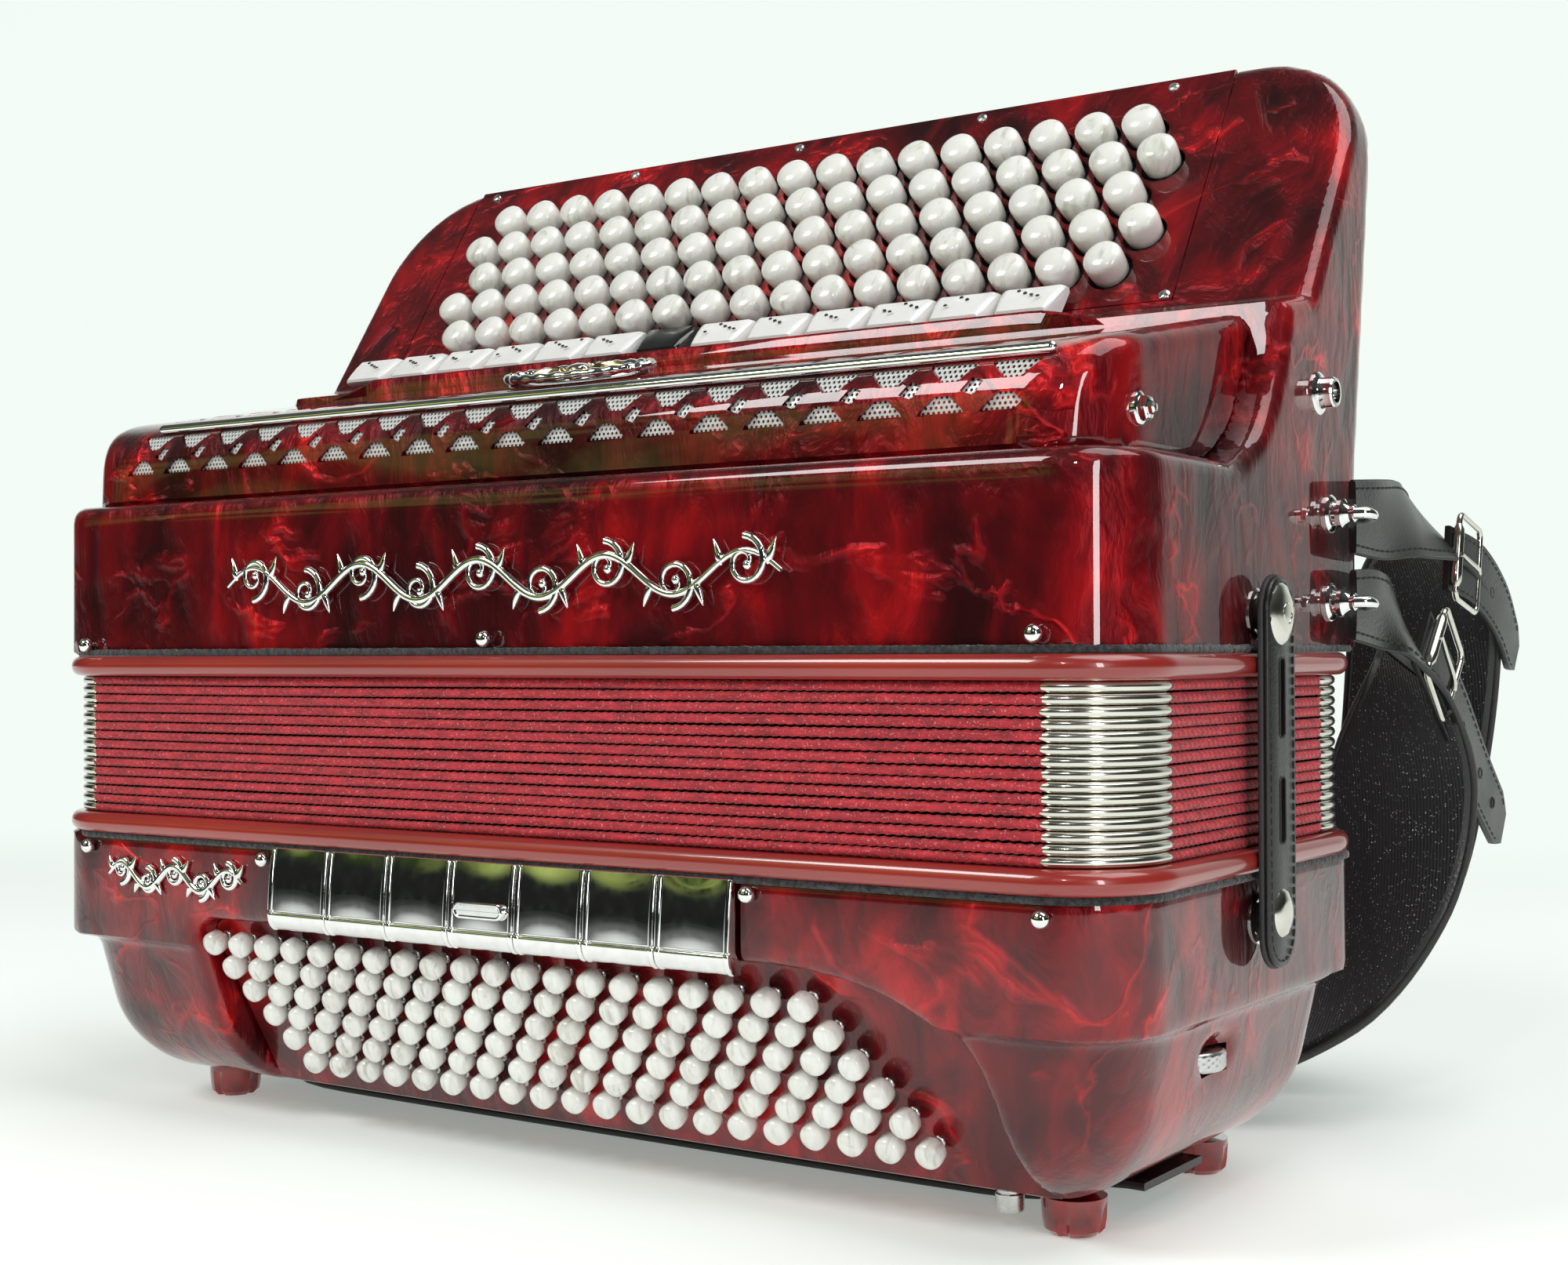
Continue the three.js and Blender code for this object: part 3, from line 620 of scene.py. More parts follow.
# ---- camera and studio ----
CAMERA_AT = (0.472219, -0.688256, 0.173153)
CAMERA_TURN = [math.radians(a) for a in (34.331, 0.538, -0.2)]  # to the left, up, and about its axis
CAMERA_LENS = 48.84


def add_camera():
    left, up, roll = CAMERA_TURN
    forward = Vector((-math.sin(left) * math.cos(up), math.cos(left) * math.cos(up), math.sin(up)))
    level = Vector((math.cos(left), math.sin(left), 0))
    above = level.cross(forward)
    right = level * math.cos(roll) + above * math.sin(roll)
    top = right.cross(forward)
    rows = [[right[i], top[i], -forward[i], CAMERA_AT[i]] for i in range(3)]
    data = bpy.data.cameras.new("camera")
    data.lens = CAMERA_LENS
    data.clip_start = 0.02
    camera = bpy.data.objects.new("camera", data)
    camera.matrix_world = Matrix(rows + [[0, 0, 0, 1]])
    bpy.context.scene.collection.objects.link(camera)
    bpy.context.scene.camera = camera


def softbox(name, at, look, width, height, power, color=(1, 1, 1)):
    data = bpy.data.lights.new(name, "AREA")
    data.shape = "RECTANGLE"
    data.size, data.size_y = width, height
    data.energy = power
    data.color = color
    light = bpy.data.objects.new(name, data)
    aim = Vector(look) - Vector(at)
    light.matrix_world = Matrix.Translation(at) @ aim.to_track_quat("-Z", "Y").to_matrix().to_4x4()
    bpy.context.scene.collection.objects.link(light)


BACKDROP = (0.90, 0.97, 0.92)
# The floor's size and place in metres; it lies a hair under the feet.
FLOOR_RADIUS = 9.0
FLOOR_MIDDLE = 2.5
FLOOR_DROP = 0.0004


def add_world():
    """A pale studio wall behind the object, and on the other side a dark room with a garden window."""
    world = bpy.data.worlds.new("studio")
    bpy.context.scene.world = world
    world.use_nodes = True

    def node(kind, inputs, **settings):
        return add_node(world.node_tree, kind, inputs, settings)

    def toward(direction, low, high):
        dot = node("VectorMath", {0: place, 1: direction}, operation="DOT_PRODUCT").outputs["Value"]
        ends = {"Value": dot, "From Min": low, "From Max": high}
        return node("MapRange", ends, interpolation_type="SMOOTHSTEP").outputs[0]

    def over(factor, below, above):
        return node("Mix", {0: factor, 6: below, 7: above}, data_type="RGBA").outputs[2]

    place = node("TexCoord", {}).outputs["Generated"]
    leaf_noise = {"Vector": place, "Scale": 7.0, "Detail": 4.0, "Distortion": 1.5}
    leaves = node("TexNoise", leaf_noise).outputs["Fac"]
    patches = node("MapRange", {"Value": leaves, "From Min": 0.42, "From Max": 0.6}).outputs[0]
    garden = over(patches, (0.03, 0.05, 0.012, 1), (0.52, 0.62, 0.17, 1))
    sides = {0: toward((-0.56, -0.83, 0.16), 0.88, 0.97), 1: toward((0, 0, 1), 0.09, 0.15)}
    window = node("Math", sides, operation="MULTIPLY")
    room = over(toward((0, 0, 1), 0.0, 0.8), (0.014, 0.015, 0.014, 1), (0.08, 0.085, 0.08, 1))
    room = over(window.outputs[0], room, garden)
    color = over(toward((-0.42, 0.90, 0.05), 0.5, 0.86), room, (*BACKDROP, 1))
    world.node_tree.links.new(color, world.node_tree.nodes["Background"].inputs["Color"])


def add_floor():
    """A sheet of white paper: it melts into the backdrop behind the object and ends before it, where the
    floor is painted shade, dark grey for the unlit room in front.
    """
    paint = Paint("floor", Roughness=0.5)
    tone = paint.noise(6.0, detail=2.0)
    pale = paint.ramp(tone, (0.3, (0.84, 0.87, 0.85)), (0.7, (0.86, 0.89, 0.87)))
    far = paint.between(paint.vector("DOT_PRODUCT", paint.place, (-0.42, 0.90, 0.0)), 0.35, 1.2)
    # Where the paper ends in front, the floor is painted shade: dark grey for the unlit room there.
    depth = paint.node("SeparateXYZ", {"Vector": paint.place}).outputs["Y"]
    sheet = paint.between(depth, -1.25, -0.5)
    near = paint.blend(sheet, (0.14, 0.145, 0.14), pale)
    paint.color(paint.blend(far, near, (0.0, 0.0, 0.0)))
    glow = paint.math("MULTIPLY", paint.math("MULTIPLY_ADD", far, 0.70, 0.30), sheet)
    paint.shader.inputs["Specular IOR Level"].default_value = 0.0
    paint.shader.inputs["Emission Color"].default_value = (*BACKDROP, 1)
    paint.tree.links.new(glow, paint.shader.inputs["Emission Strength"])
    corners = [(x, y, -FLOOR_DROP) for x, y in ring(0, FLOOR_MIDDLE, FLOOR_RADIUS, 64)]
    mesh = bpy.data.meshes.new("floor")
    mesh.from_pydata(corners, [], [tuple(range(len(corners)))])
    mesh.materials.append(paint.material)
    floor = bpy.data.objects.new("floor", mesh)
    bpy.context.scene.collection.objects.link(floor)


def light_scene():
    bpy.context.scene.view_settings.view_transform = "Standard"
    add_world()
    add_floor()
    softbox("key", (-0.9, -1.6, 1.7), (0, 0, 0.2), 0.9, 0.7, 24)
    softbox("overhead", (1.0, 0.1, 2.2), (0, 0, 0.1), 1.8, 1.8, 33)
    softbox("corner_strip", (1.55, -1.15, 0.55), (0.2, -0.15, 0.2), 0.2, 0.9, 8)
    softbox("glint", (0.42, -0.95, 0.62), (0, 0, 0.2), 0.05, 0.05, 0.8)


# ---- cases ----
def face_matrix(at, tilt):
    """The frame of a face through (y, z) that leans by tilt: x along the case, z out of the face."""
    return basis((0, *at), (1, 0, 0), (0, -math.cos(tilt), math.sin(tilt)))


BOARD_FACE = face_matrix(BOARD, BOARD_TILT)
BASS_FACE = face_matrix(BASS_PLATE, -BASS_TILT)


def treble_outline():
    slope = np.array([math.sin(BOARD_TILT), math.cos(BOARD_TILT)])
    foot, head = (tuple(np.array(BOARD) + s * slope) for s in (-86, 27))
    points = [(CASE_FRONT, 150), (CASE_FRONT, 222)]
    points += bend((CASE_FRONT, 222), (CASE_FRONT, TREBLE_LEDGE), (13, TREBLE_LEDGE))
    points += [(84, TREBLE_LEDGE)]
    points += bend((84, TREBLE_LEDGE), (118, 238), (127, 284))
    points += [foot, head, (213, 383.5), (213.5, 378), (CASE_BACK, 232), (CASE_BACK, 150)]
    return points


def treble_field(x, y, z):
    side = outline_field(treble_outline(), y, z)
    plan = plan_field(x, y, HALF, CASE_FRONT, 216, np.where(x < 0, *FRONT_RADII), 14)
    arch = plan_field(x, z, HALF, 60, TOP, 10, 42)
    return np.maximum(both(side, np.maximum(plan, arch), 5.0), TREBLE_FRAME[1] + FRAME_GAP - z)


def treble_case():
    shell = surface(treble_field, (-HALF, CASE_FRONT, 173), (HALF, 216, TOP), 2.6)
    case = make("treble_case_shell", shell, PEARLOID, "treble", replaces=["treble_case"])
    cut(case, moved(box_part((-189.3, -82.3, -9), (176.3, 40, 4)), BOARD_FACE))
    return case


def bass_field(x, y, z):
    """A straight upper part, and a softly rounded lower part that narrows towards the floor."""
    plan = plan_field(x, y, HALF, CASE_FRONT, CASE_BACK, np.where(x < 0, *FRONT_RADII), 18)
    upper = np.maximum(plan, z - BASS_FRAME[0] + FRAME_GAP)
    upper = both(upper, BASS_LEDGE - z, 2.5)
    drop = np.clip(BASS_LEDGE - z, 0, 80)
    half = np.where(x < 0, 224 - 0.1 * drop, 222 - 0.2 * drop)
    front, back = 9 + 0.24 * drop, 187 - 0.13 * drop
    radius = 30.0
    dx = np.abs(x) - half + radius
    dy = np.maximum(front - y, y - back) + radius
    dz = BASS_BOTTOM - z + radius
    lower = np.sqrt(sum(np.maximum(d, 0) ** 2 for d in (dx, dy, dz)))
    lower = lower + np.minimum(np.maximum(np.maximum(dx, dy), dz), 0) - radius
    lower = np.maximum(lower, z - BASS_LEDGE - 4)
    body = either(upper, lower, 4.0)
    ahead = (BASS_PLATE[0] - y) * math.cos(BASS_TILT) + (BASS_PLATE[1] - z) * math.sin(BASS_TILT)
    recess = np.maximum(outline_field(mouth(0, -20), x, z), -(ahead + 3.0))
    body = both(body, -recess, 4.0)
    scoop = np.sqrt(((x - 232) / 17) ** 2 + ((y - 83) / 19) ** 2 + ((z - 52) / 10) ** 2)
    return both(body, -(scoop - 1) * 10, 1.5)


def mouth(grow, foot):
    """The outline of the opening round the bass buttons, in front view, from its foot upwards."""
    left = -134 - grow - 12 * max(foot, 0) / 66
    points = [(left, foot), (-146 - grow, 66)]
    points += bend((-146 - grow, 66), (-147 - grow, 77 + grow), (-134, 77 + grow))
    points += [(106, 80 + grow)] + bend((106, 80 + grow), (150 + grow, 80 + grow), (172 + grow, 62))
    return points + bend((172 + grow, 62), (184 + grow, 50), (190 + grow, foot))


def bass_case():
    shell = surface(bass_field, (-HALF, CASE_FRONT, BASS_BOTTOM), (HALF, CASE_BACK, BASS_FRAME[0]), 2.6)
    case = make("bass_case_shell", shell, PEARLOID, "bass", replaces=["bass_case"])
    cut(
        case,
        box_part((-101, -3, 75.0), (101, 9, 120)),
        slab(ring(*WHEEL_AT, 13.7, 48), 46.4, 54.6, 0.2),
        box_part((-160.3, 63.7, 5), (160.3, 150.3, 14.7)),
    )
    return case


def round_path(half, front, back, front_radius, back_radius, spacing):
    """Points and outward directions round a rounded rectangle in plan, as rows of x, y, nx, ny."""
    rows = []

    def line(a, b, normal):
        count = max(1, round(math.dist(a, b) / spacing))
        for k in range(count):
            x, y = (p + (q - p) * k / count for p, q in zip(a, b))
            rows.append((x, y, *normal))

    def arc(x, y, radius, start):
        count = max(6, round(radius * math.pi / 2 / spacing))
        for k in range(count):
            a = start + math.pi / 2 * k / count
            rows.append((x + radius * math.cos(a), y + radius * math.sin(a), math.cos(a), math.sin(a)))

    line((0, front), (half - front_radius, front), (0, -1))
    arc(half - front_radius, front + front_radius, front_radius, -math.pi / 2)
    line((half, front + front_radius), (half, back - back_radius), (1, 0))
    arc(half - back_radius, back - back_radius, back_radius, 0)
    line((half - back_radius, back), (0, back), (0, 1))
    right = np.array(rows + [(0, back, 0, 1)])
    left = right[1:-1][::-1] * (-1, 1, -1, 1)
    return np.concatenate([right, left])


def sweep(path, section, closed=True):
    """A section of (outward, z) pairs, one for all or one for each point, carried along a plan path."""
    section = np.asarray(section, float)
    section = np.broadcast_to(section, (len(path), *section.shape[-2:]))
    plan = path[:, None, :2] + path[:, None, 2:] * section[..., :1]
    return loft(np.concatenate([plan, section[..., 1:]], 2), closed)


def plate_with_holes(levels):
    """A flat plate from levels of (loops, z), bottom first: an outline, and then its holes."""
    loops = levels[-1][0]
    edges, start = [], 0
    for loop in loops:
        edges += [(start + k, start + (k + 1) % len(loop)) for k in range(len(loop))]
        start += len(loop)
    flat = np.concatenate([np.asarray(loop, float) for loop in loops])
    done = delaunay_2d_cdt([Vector(p) for p in flat], edges, [], 0, 1e-7)
    origin = [group[0] for group in done[3]]
    middles = np.array([np.mean([done[0][i] for i in tri], 0) for tri in done[2]])
    keep = outline_field([tuple(p) for p in loops[0]], middles[:, 0], middles[:, 1]) < 0
    for hole in loops[1:]:
        keep &= outline_field([tuple(p) for p in hole], middles[:, 0], middles[:, 1]) > 0
    caps = [tuple(origin[i] for i in tri) for tri, kept in zip(done[2], keep) if kept]
    points = [np.column_stack([np.concatenate(ls), np.full(start, z)]) for ls, z in levels]
    top = (len(levels) - 1) * start
    faces = [tuple(top + i for i in tri) for tri in caps] + [tri[::-1] for tri in caps]
    for level in range(len(levels) - 1):
        a = level * start
        faces += [(a + i, a + j, a + start + j, a + start + i) for i, j in edges]
    return np.concatenate(points), faces


def ring(x, y, radius, steps=24):
    angles = np.linspace(0, 2 * math.pi, steps, False)
    return [(x + radius * math.cos(a), y + radius * math.sin(a)) for a in angles]


def facing(x, y, z, along, across=(1, 0, 0)):
    """Places a part made on the xy plane at a point, its z along a direction."""
    return basis((x, y, z), across, along)


def capsule(a, b, radius, sides=6):
    """A short rounded stroke from a to b."""
    a, b = np.asarray(a, float), np.asarray(b, float)
    t = np.array([0, 0.12, 0.5, 0.88, 1])[:, None]
    return tube(a + (b - a) * t, radius * np.array([0.35, 0.9, 1, 0.9, 0.35]), sides)


FRONT_WAY = (0, -1, 0)


# ---- bellows ----
FOLD_PITCH = (TREBLE_FRAME[0] - BASS_FRAME[1]) / FOLDS
FRAME_EASE = 3.3
FRAME_WALL = 13.0
CORD_SPACING = 0.9
CORD_LAY = 3.4  # length of one turn of the cord in a ridge


def frame_path(spacing):
    return round_path(FRAME_HALF, 0, FRAME_DEPTH, FRAME_RADIUS, FRAME_RADIUS, spacing)


def bellows_frame(name, low, high, body):
    middle, half = (low + high) / 2, (high - low) / 2
    angles = np.radians(np.linspace(-90, 90, 13))
    edge = [(FRAME_EASE * (math.cos(a) - 1), middle + half * math.sin(a)) for a in angles]
    section = [(-FRAME_WALL, low)] + edge + [(-FRAME_WALL, high)]
    make(name + "_lacquered", sweep(frame_path(3.0), section), LACQUER, body, 60, replaces=[name])


def felt_gasket(name, back_radius, low, high, body):
    """A strip of felt squeezed between a frame and its case, its edge rough."""
    rng = np.random.default_rng(5)
    path = round_path(HALF, CASE_FRONT, CASE_BACK, 28, back_radius, 1.0)
    rough = rng.normal(0, 0.13, (len(path), 3))
    section = np.zeros((len(path), 5, 2))
    section[:] = [(-1.0, low), (1.0, low), (1.35, (low + high) / 2), (1.0, high), (-1.0, high)]
    section[:, 1:4, 0] += rough
    section[:, 3, 1] += rough[:, 0] * 1.2
    make(name, sweep(path, section), FELT, body)


def blend_between(obj):
    """Bakes the object's placement into its mesh; nothing here lets it move with the bellows' stroke."""
    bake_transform(obj)


def blend_rigid(obj):
    """Bakes the object's placement into its mesh; nothing here lets it move with the bellows' stroke."""
    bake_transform(obj)


def bellows_ridge(index):
    """The corded edge of one fold: a bead with the slanting turns of its cord in the surface."""
    middle = BASS_FRAME[1] + (index + 0.5) * FOLD_PITCH
    path = frame_path(CORD_SPACING)
    count = len(path)
    turns = round(count * CORD_SPACING / CORD_LAY)
    along = 2 * math.pi * turns * np.arange(count) / count
    angles = np.radians(np.linspace(-150, 150, 9))
    wave = np.cos(along[:, None] + 1.5 * angles + index * 2.1)
    radius = 1.45 + 0.22 * wave
    drift = 0.12 * np.sin(2 * math.pi * (3 + index % 3) * np.arange(count) / count + index)
    section = np.stack([-6.1 + radius * np.cos(angles), middle + drift[:, None] + radius * np.sin(angles)], 2)
    return sweep(path, section)


def corner_clips(index):
    """Four bright metal clips that wrap one fold's corners."""
    middle = BASS_FRAME[1] + (index + 0.5) * FOLD_PITCH
    path = frame_path(1.6)
    x, y = path[:, 0], path[:, 1]
    angles = np.linspace(0, 2 * np.pi, 12, False)
    clips = []
    for side in (-1, 1):
        for near_front in (True, False):
            depth = y if near_front else FRAME_DEPTH - y
            run = path[(side * x > 200.5) & (depth < 40)]
            size = np.full(len(run), 1.68)
            size[[0, -1]], size[[1, -2]] = 1.0, 1.5
            out, up = np.outer(size, np.cos(angles)), np.outer(size, np.sin(angles))
            clips.append(sweep(run, np.stack([out - 5.9, middle + up], 2), closed=False))
    return join(clips)


def gusset(index):
    """The folded cloth between two ridges, and its heights at both ends."""
    low = BASS_FRAME[1] if index == 0 else BASS_FRAME[1] + (index - 0.5) * FOLD_PITCH
    high = TREBLE_FRAME[0] if index == FOLDS else BASS_FRAME[1] + (index + 0.5) * FOLD_PITCH
    middle = (low + high) / 2
    lower, upper = (low + middle) / 2, (high + middle) / 2
    section = [(-6.4, low + 0.3), (-13.5, lower + 0.25), (-20.6, middle), (-13.5, upper - 0.25)]
    section += [(-6.4, high - 0.3), (-6.4, high), (-14, upper), (-21.4, middle), (-14, lower), (-6.4, low)]
    return sweep(frame_path(5.0), section), low, high


def bellows():
    bellows_frame("bellows_frame_bass", *BASS_FRAME, "bass")
    bellows_frame("bellows_frame_treble", *TREBLE_FRAME, "treble")
    felt_gasket("felt_gasket_bass", 18, BASS_FRAME[0] - 2.2, BASS_FRAME[0] - 0.05, "bass")
    felt_gasket("felt_gasket_treble", 14, TREBLE_FRAME[1] + 0.05, TREBLE_FRAME[1] + 2.3, "treble")
    for index in range(FOLDS):
        pack = [f"bellows_folds_{index // 3 + 1}"]
        cord = make(f"bellows_ridge_{index + 1}", bellows_ridge(index), CLOTH, None, 60, replaces=pack)
        blend_rigid(cord)
        clips = make(f"bellows_clips_{index + 1}", corner_clips(index), NICKEL, None, 60)
        blend_rigid(clips)
    for index in range(FOLDS + 1):
        part, low, high = gusset(index)
        cloth_piece = make(f"bellows_gusset_{index + 1}", part, SHADED_GUSSET, None, 60)
        blend_between(cloth_piece)


def case_pins():
    """Domed pins that hold the cases to the bellows frames, with their short necks."""
    neck = [(0, 0), (1.0, 0), (1.0, 1.3)]
    dome = [(1.9, 1.5), (2.6, 2.4), (2.75, 3.4), (2.4, 4.5), (1.5, 5.3), (0, 5.6)]
    pin = lathe(neck + dome, 16)
    places = {"treble": ((-202.8, 176.8), (-0.3, 177.9), (200.8, 178.1))}
    places["bass"] = ((-201.5, 100.8), (-105.4, 100.5), (104.6, 101), (202.6, 100.2))
    for body, spots in places.items():
        pins = [moved(pin, facing(x, 5.2, z, FRONT_WAY)) for x, z in spots]
        pins += [moved(pin, facing(x, CASE_BACK - 1.2, z, (0, 1, 0))) for x, z in spots]
        make(f"{body}_case_pins", join(pins), CHROME, body)


# ---- grille ----
GRILLE_ENDS = (-222.0, 214.0)
GRILLE_RISE = 15.5 / 82.5
SCREEN_START = -201
SCREEN_LENGTH = 402
SCREEN_PITCH = 1.75
ARCH = [(-7.8, -2.9), (7.8, -2.9), (7.2, -1.6), (2.6, 2.6), (-2.6, 2.6), (-7.2, -1.6)]
HANGING = [(-2.6, -2.9), (2.6, -2.9), (7.9, 1.9), (7.9, 2.7), (-7.9, 2.7), (-7.9, 1.9)]
LOZENGE = [(-3.7, -1.3), (0.9, -2.9), (3.7, 1.1), (-0.2, 2.6)]
# Rows of openings: their outline, how many, the first one's x, their pitch, and z in front or y on top.
FRONT_ROWS = (
    (ARCH, 19, -190.3, 20.76, 244.6),
    (HANGING, 19, -185.5, 20.6, 254.2),
    (LOZENGE, 18, -180.1, 20.73, 249.8),
)
TOP_ROWS = ((ARCH, 19, -190.3, 20.76, 58.5), (HANGING, 19, -187.5, 20.7, 42.0))
BADGE_X = 1
BADGE_ROOM = 36  # no opening on top is nearer than this to the badge's middle
STRIP_SPAN = (-187.0, 197.0)
STRIP_AT = (24.6, 259.6)
STRIP_RADIUS = 1.8


def grille_side(wall):
    points = [(13.6 + wall, 220), (15 + wall, 230), (17 + wall, 244)]
    points += bend((17 + wall, 244), (20 + wall, 261 - 0.7 * wall), (42, 265 - wall))
    points += [(124.5 + wall, 280.5 - wall), (138, 283 - wall), (138, 220)]
    return points


def grille_top(y):
    """Height of the grille's top at a depth behind its rounded front."""
    return 265 + (y - 42) * GRILLE_RISE


def grille_field(x, y, z, wall):
    side = outline_field(grille_side(wall), y, z)
    half = np.where(x < 0, -GRILLE_ENDS[0], GRILLE_ENDS[1]) - wall
    radius = np.where(x < 0, 18, 30) - wall
    plan = plan_field(x, y, half, 15 + wall, 160, radius, 2)
    return both(side, plan, 6.0 - wall)


def sound_openings():
    """Cutters for the rows of openings in front and on top, where they leave room for the badge."""
    turn = Matrix(((1, 0, 0, 0), (0, 0, -1, 0), (0, 1, 0, 0), (0, 0, 0, 1)))
    cutters = []
    for shape, count, first, pitch, z in FRONT_ROWS:
        prism = loft([[(a, b, c) for a, b in shape] for c in (-34, -6)])
        for k in range(count):
            cutters.append(moved(prism, Matrix.Translation((first + pitch * k, 0, z)) @ turn))
    for shape, count, first, pitch, y in TOP_ROWS:
        prism = loft([[(-a, -b, c) for a, b in shape] for c in (250, 275)])
        for x in (first + pitch * k for k in range(count)):
            if abs(x - BADGE_X) >= BADGE_ROOM:
                place = Matrix.Translation((x, y, 0)) @ Matrix.Diagonal((1, 1.5, 1, 1))
                cutters.append(moved(prism, place))
    return cutters


def grille_cover():
    def outside(x, y, z):
        return np.maximum(grille_field(x, y, z, 0.0), 0.35 - treble_field(x, y, z))

    def inside(x, y, z):
        return grille_field(x, y, z, 2.4)

    low, high = GRILLE_ENDS
    shell = surface(outside, (low, 14, 226), (high, 128, 284), 2.4)
    cover = make("grille_cover_shell", shell, PEARLOID, "treble", replaces=["grille_cover"])
    cut(cover, surface(inside, (low, 14, 222), (high, 140, 284), 3.0), *sound_openings())


def perforated(length, rows, pitch, place):
    """A thin sheet of hexagonal cells, each with a round hole, laid on a surface by place(u, v, depth)."""
    step = pitch * math.sqrt(3) / 2
    angles = np.radians(np.arange(6) * 60 + 30)
    outer, hole, thick = pitch / math.sqrt(3), pitch * 0.32, 0.5
    rims = ((outer, 0), (hole, 0), (hole, thick), (outer, thick))
    points, faces = [], []
    for row in range(rows):
        for column in range(int(length / pitch)):
            u, v = (column + 0.5 * (row % 2)) * pitch, row * step
            start = len(points)
            for radius, depth in rims:
                points += [place(u + radius * math.cos(a), v + radius * math.sin(a), depth) for a in angles]
            for level in range(3):
                for k in range(6):
                    n = (k + 1) % 6
                    a = start + level * 6
                    faces.append((a + k, a + n, a + 6 + n, a + 6 + k))
    return np.array(points), faces


def grille_screen():
    """The silver perforated sheet behind the openings, in front and on top."""

    def behind_front(u, v, depth):
        z = 239.5 + v
        t = np.clip((z - 244) / 15, 0, 1)
        round_corner = 27.5 - math.sqrt(27.5**2 - min(max(u - 385, 0), 20) ** 2)
        return (SCREEN_START + u, 19.5 + depth + 7.0 * t * t + round_corner, z)

    def under_top(u, v, depth):
        y = 34 + v
        return (SCREEN_START + u, y, grille_top(y) - 3.4 - depth)

    rows = ((12, behind_front), (20, under_top))
    parts = [perforated(SCREEN_LENGTH, count, SCREEN_PITCH, place) for count, place in rows]
    make("grille_screen_sheet", join(parts), SCREEN, "treble", 30, replaces=["grille_screen"])


def grille_strip():
    """A bright bar with rounded ends and a fine groove, lying on the grille's shoulder."""
    low, high = STRIP_SPAN
    tip = np.array([0, 0.12, 0.5, 1.0, 1.6])
    x = np.concatenate([low + tip, np.linspace(low + 2.4, high - 2.4, 50), high - tip[::-1]])
    reach = np.clip(np.minimum(x - low, high - x) / STRIP_RADIUS, 0, 1)
    angles = np.linspace(0, 2 * np.pi, 16, False)
    groove = 1 - 0.16 * np.exp(-(((angles - np.pi * 0.82) / 0.22) ** 2))
    rings = []
    for place, swell in zip(x, STRIP_RADIUS * np.sqrt(np.clip(1 - (1 - reach) ** 2, 0.01, 1))):
        offset = swell * groove
        y, z = STRIP_AT[0] + offset * np.cos(angles), STRIP_AT[1] + offset * np.sin(angles)
        rings.append(np.column_stack([np.full(16, place), y, z]))
    make("grille_strip_bar", loft(rings), CHROME, "treble", 60, replaces=["grille_strip"])


def volute(turns, size, thickness, hand=1):
    """A flat spiral scroll that ends in a small ball, in the xy plane from the origin inwards."""
    t = np.linspace(0, 1, 34)
    radius = size * (1 - 0.82 * t)
    angle = hand * (turns * 2 * np.pi * t - np.pi / 2)
    path = np.column_stack([radius * np.cos(angle), size + radius * np.sin(angle), 0 * t])
    part = tube(path, thickness * (1 - 0.45 * t), 8)
    ball = lathe([(0, -1), (0.7, -0.7), (1, 0), (0.7, 0.7), (0, 1)], 10)
    ball = (ball[0] * thickness * 1.25 + path[-1], ball[1])
    return join([part, ball])


def badge():
    """An oval plaque with a corded rim and a leaf pattern round a raised boss."""
    wide, deep = 31.5, 12.6
    t = np.linspace(0, 2 * np.pi, 120, False)
    plate = [(0.985 * wide * math.cos(a), 0.985 * deep * math.sin(a)) for a in t[::2]]
    disc = slab(plate, 0.3, 3.2, 0.5)
    rim_path = np.column_stack([wide * np.cos(t), deep * np.sin(t), np.full(120, 3.3)])
    rim = tube(rim_path * (0.97, 0.95, 1), 1.6 + 0.25 * np.cos(24 * t), 10, closed=True)
    inner = tube(rim_path * (0.86, 0.74, 1) + (0, 0, -0.1), 0.5, 8, closed=True)
    boss = lathe([(0, 3.0), (4.8, 3.1), (4.5, 4.6), (3.0, 5.8), (0, 6.4)], 24)
    leaves = []
    for k in range(14):
        a = 2 * math.pi * (k + 0.5) / 14
        length = 1 / math.hypot(math.cos(a) / (0.74 * wide), math.sin(a) / (0.6 * deep))
        start, end = 5.4 / max(length, 1), 0.97
        s = np.linspace(start, end, 7)[:, None]
        lift = 3.3 + 1.3 * np.sin(np.linspace(0.2, 2.9, 7))[:, None]
        spine = s * length * np.array([[math.cos(a), math.sin(a), 0]]) + lift * (0, 0, 1)
        leaves.append(tube(spine, 0.9 * np.sin(np.linspace(0.25, 2.9, 7)) + 0.15, 6))
    tilt = math.atan(GRILLE_RISE) + math.radians(4)
    place = Matrix.Translation((0, 51, grille_top(51) + 0.5)) @ Matrix.Rotation(tilt, 4, "X")
    plaque = moved(join([disc, rim, inner, boss]), place)
    make("badge_plaque", plaque, CHROME, "treble", replaces=["badge"])
    make("badge_leaves", moved(join(leaves), place), GILT, "treble", 50)


def shelf_lip():
    """The thin raised edge between the grille and the register tabs."""
    x = np.linspace(-206, 164, 75)
    rise = np.clip((164 - x) / 26, 0, 1) ** 0.6 * np.clip((x + 206) / 30, 0, 1) ** 1.4
    rings = []
    for place, r in zip(x, rise):
        top = 281.5 + 7.0 * r + 0.3
        ring_points = [(place, 126.6, 279), (place, 126.4, top - 1), (place, 127.2, top), (place, 128.6, top)]
        rings.append(ring_points + [(place, 129.4, top - 1), (place, 129.4, 279)])
    make("shelf_lip", loft(rings), PEARLOID, "treble")


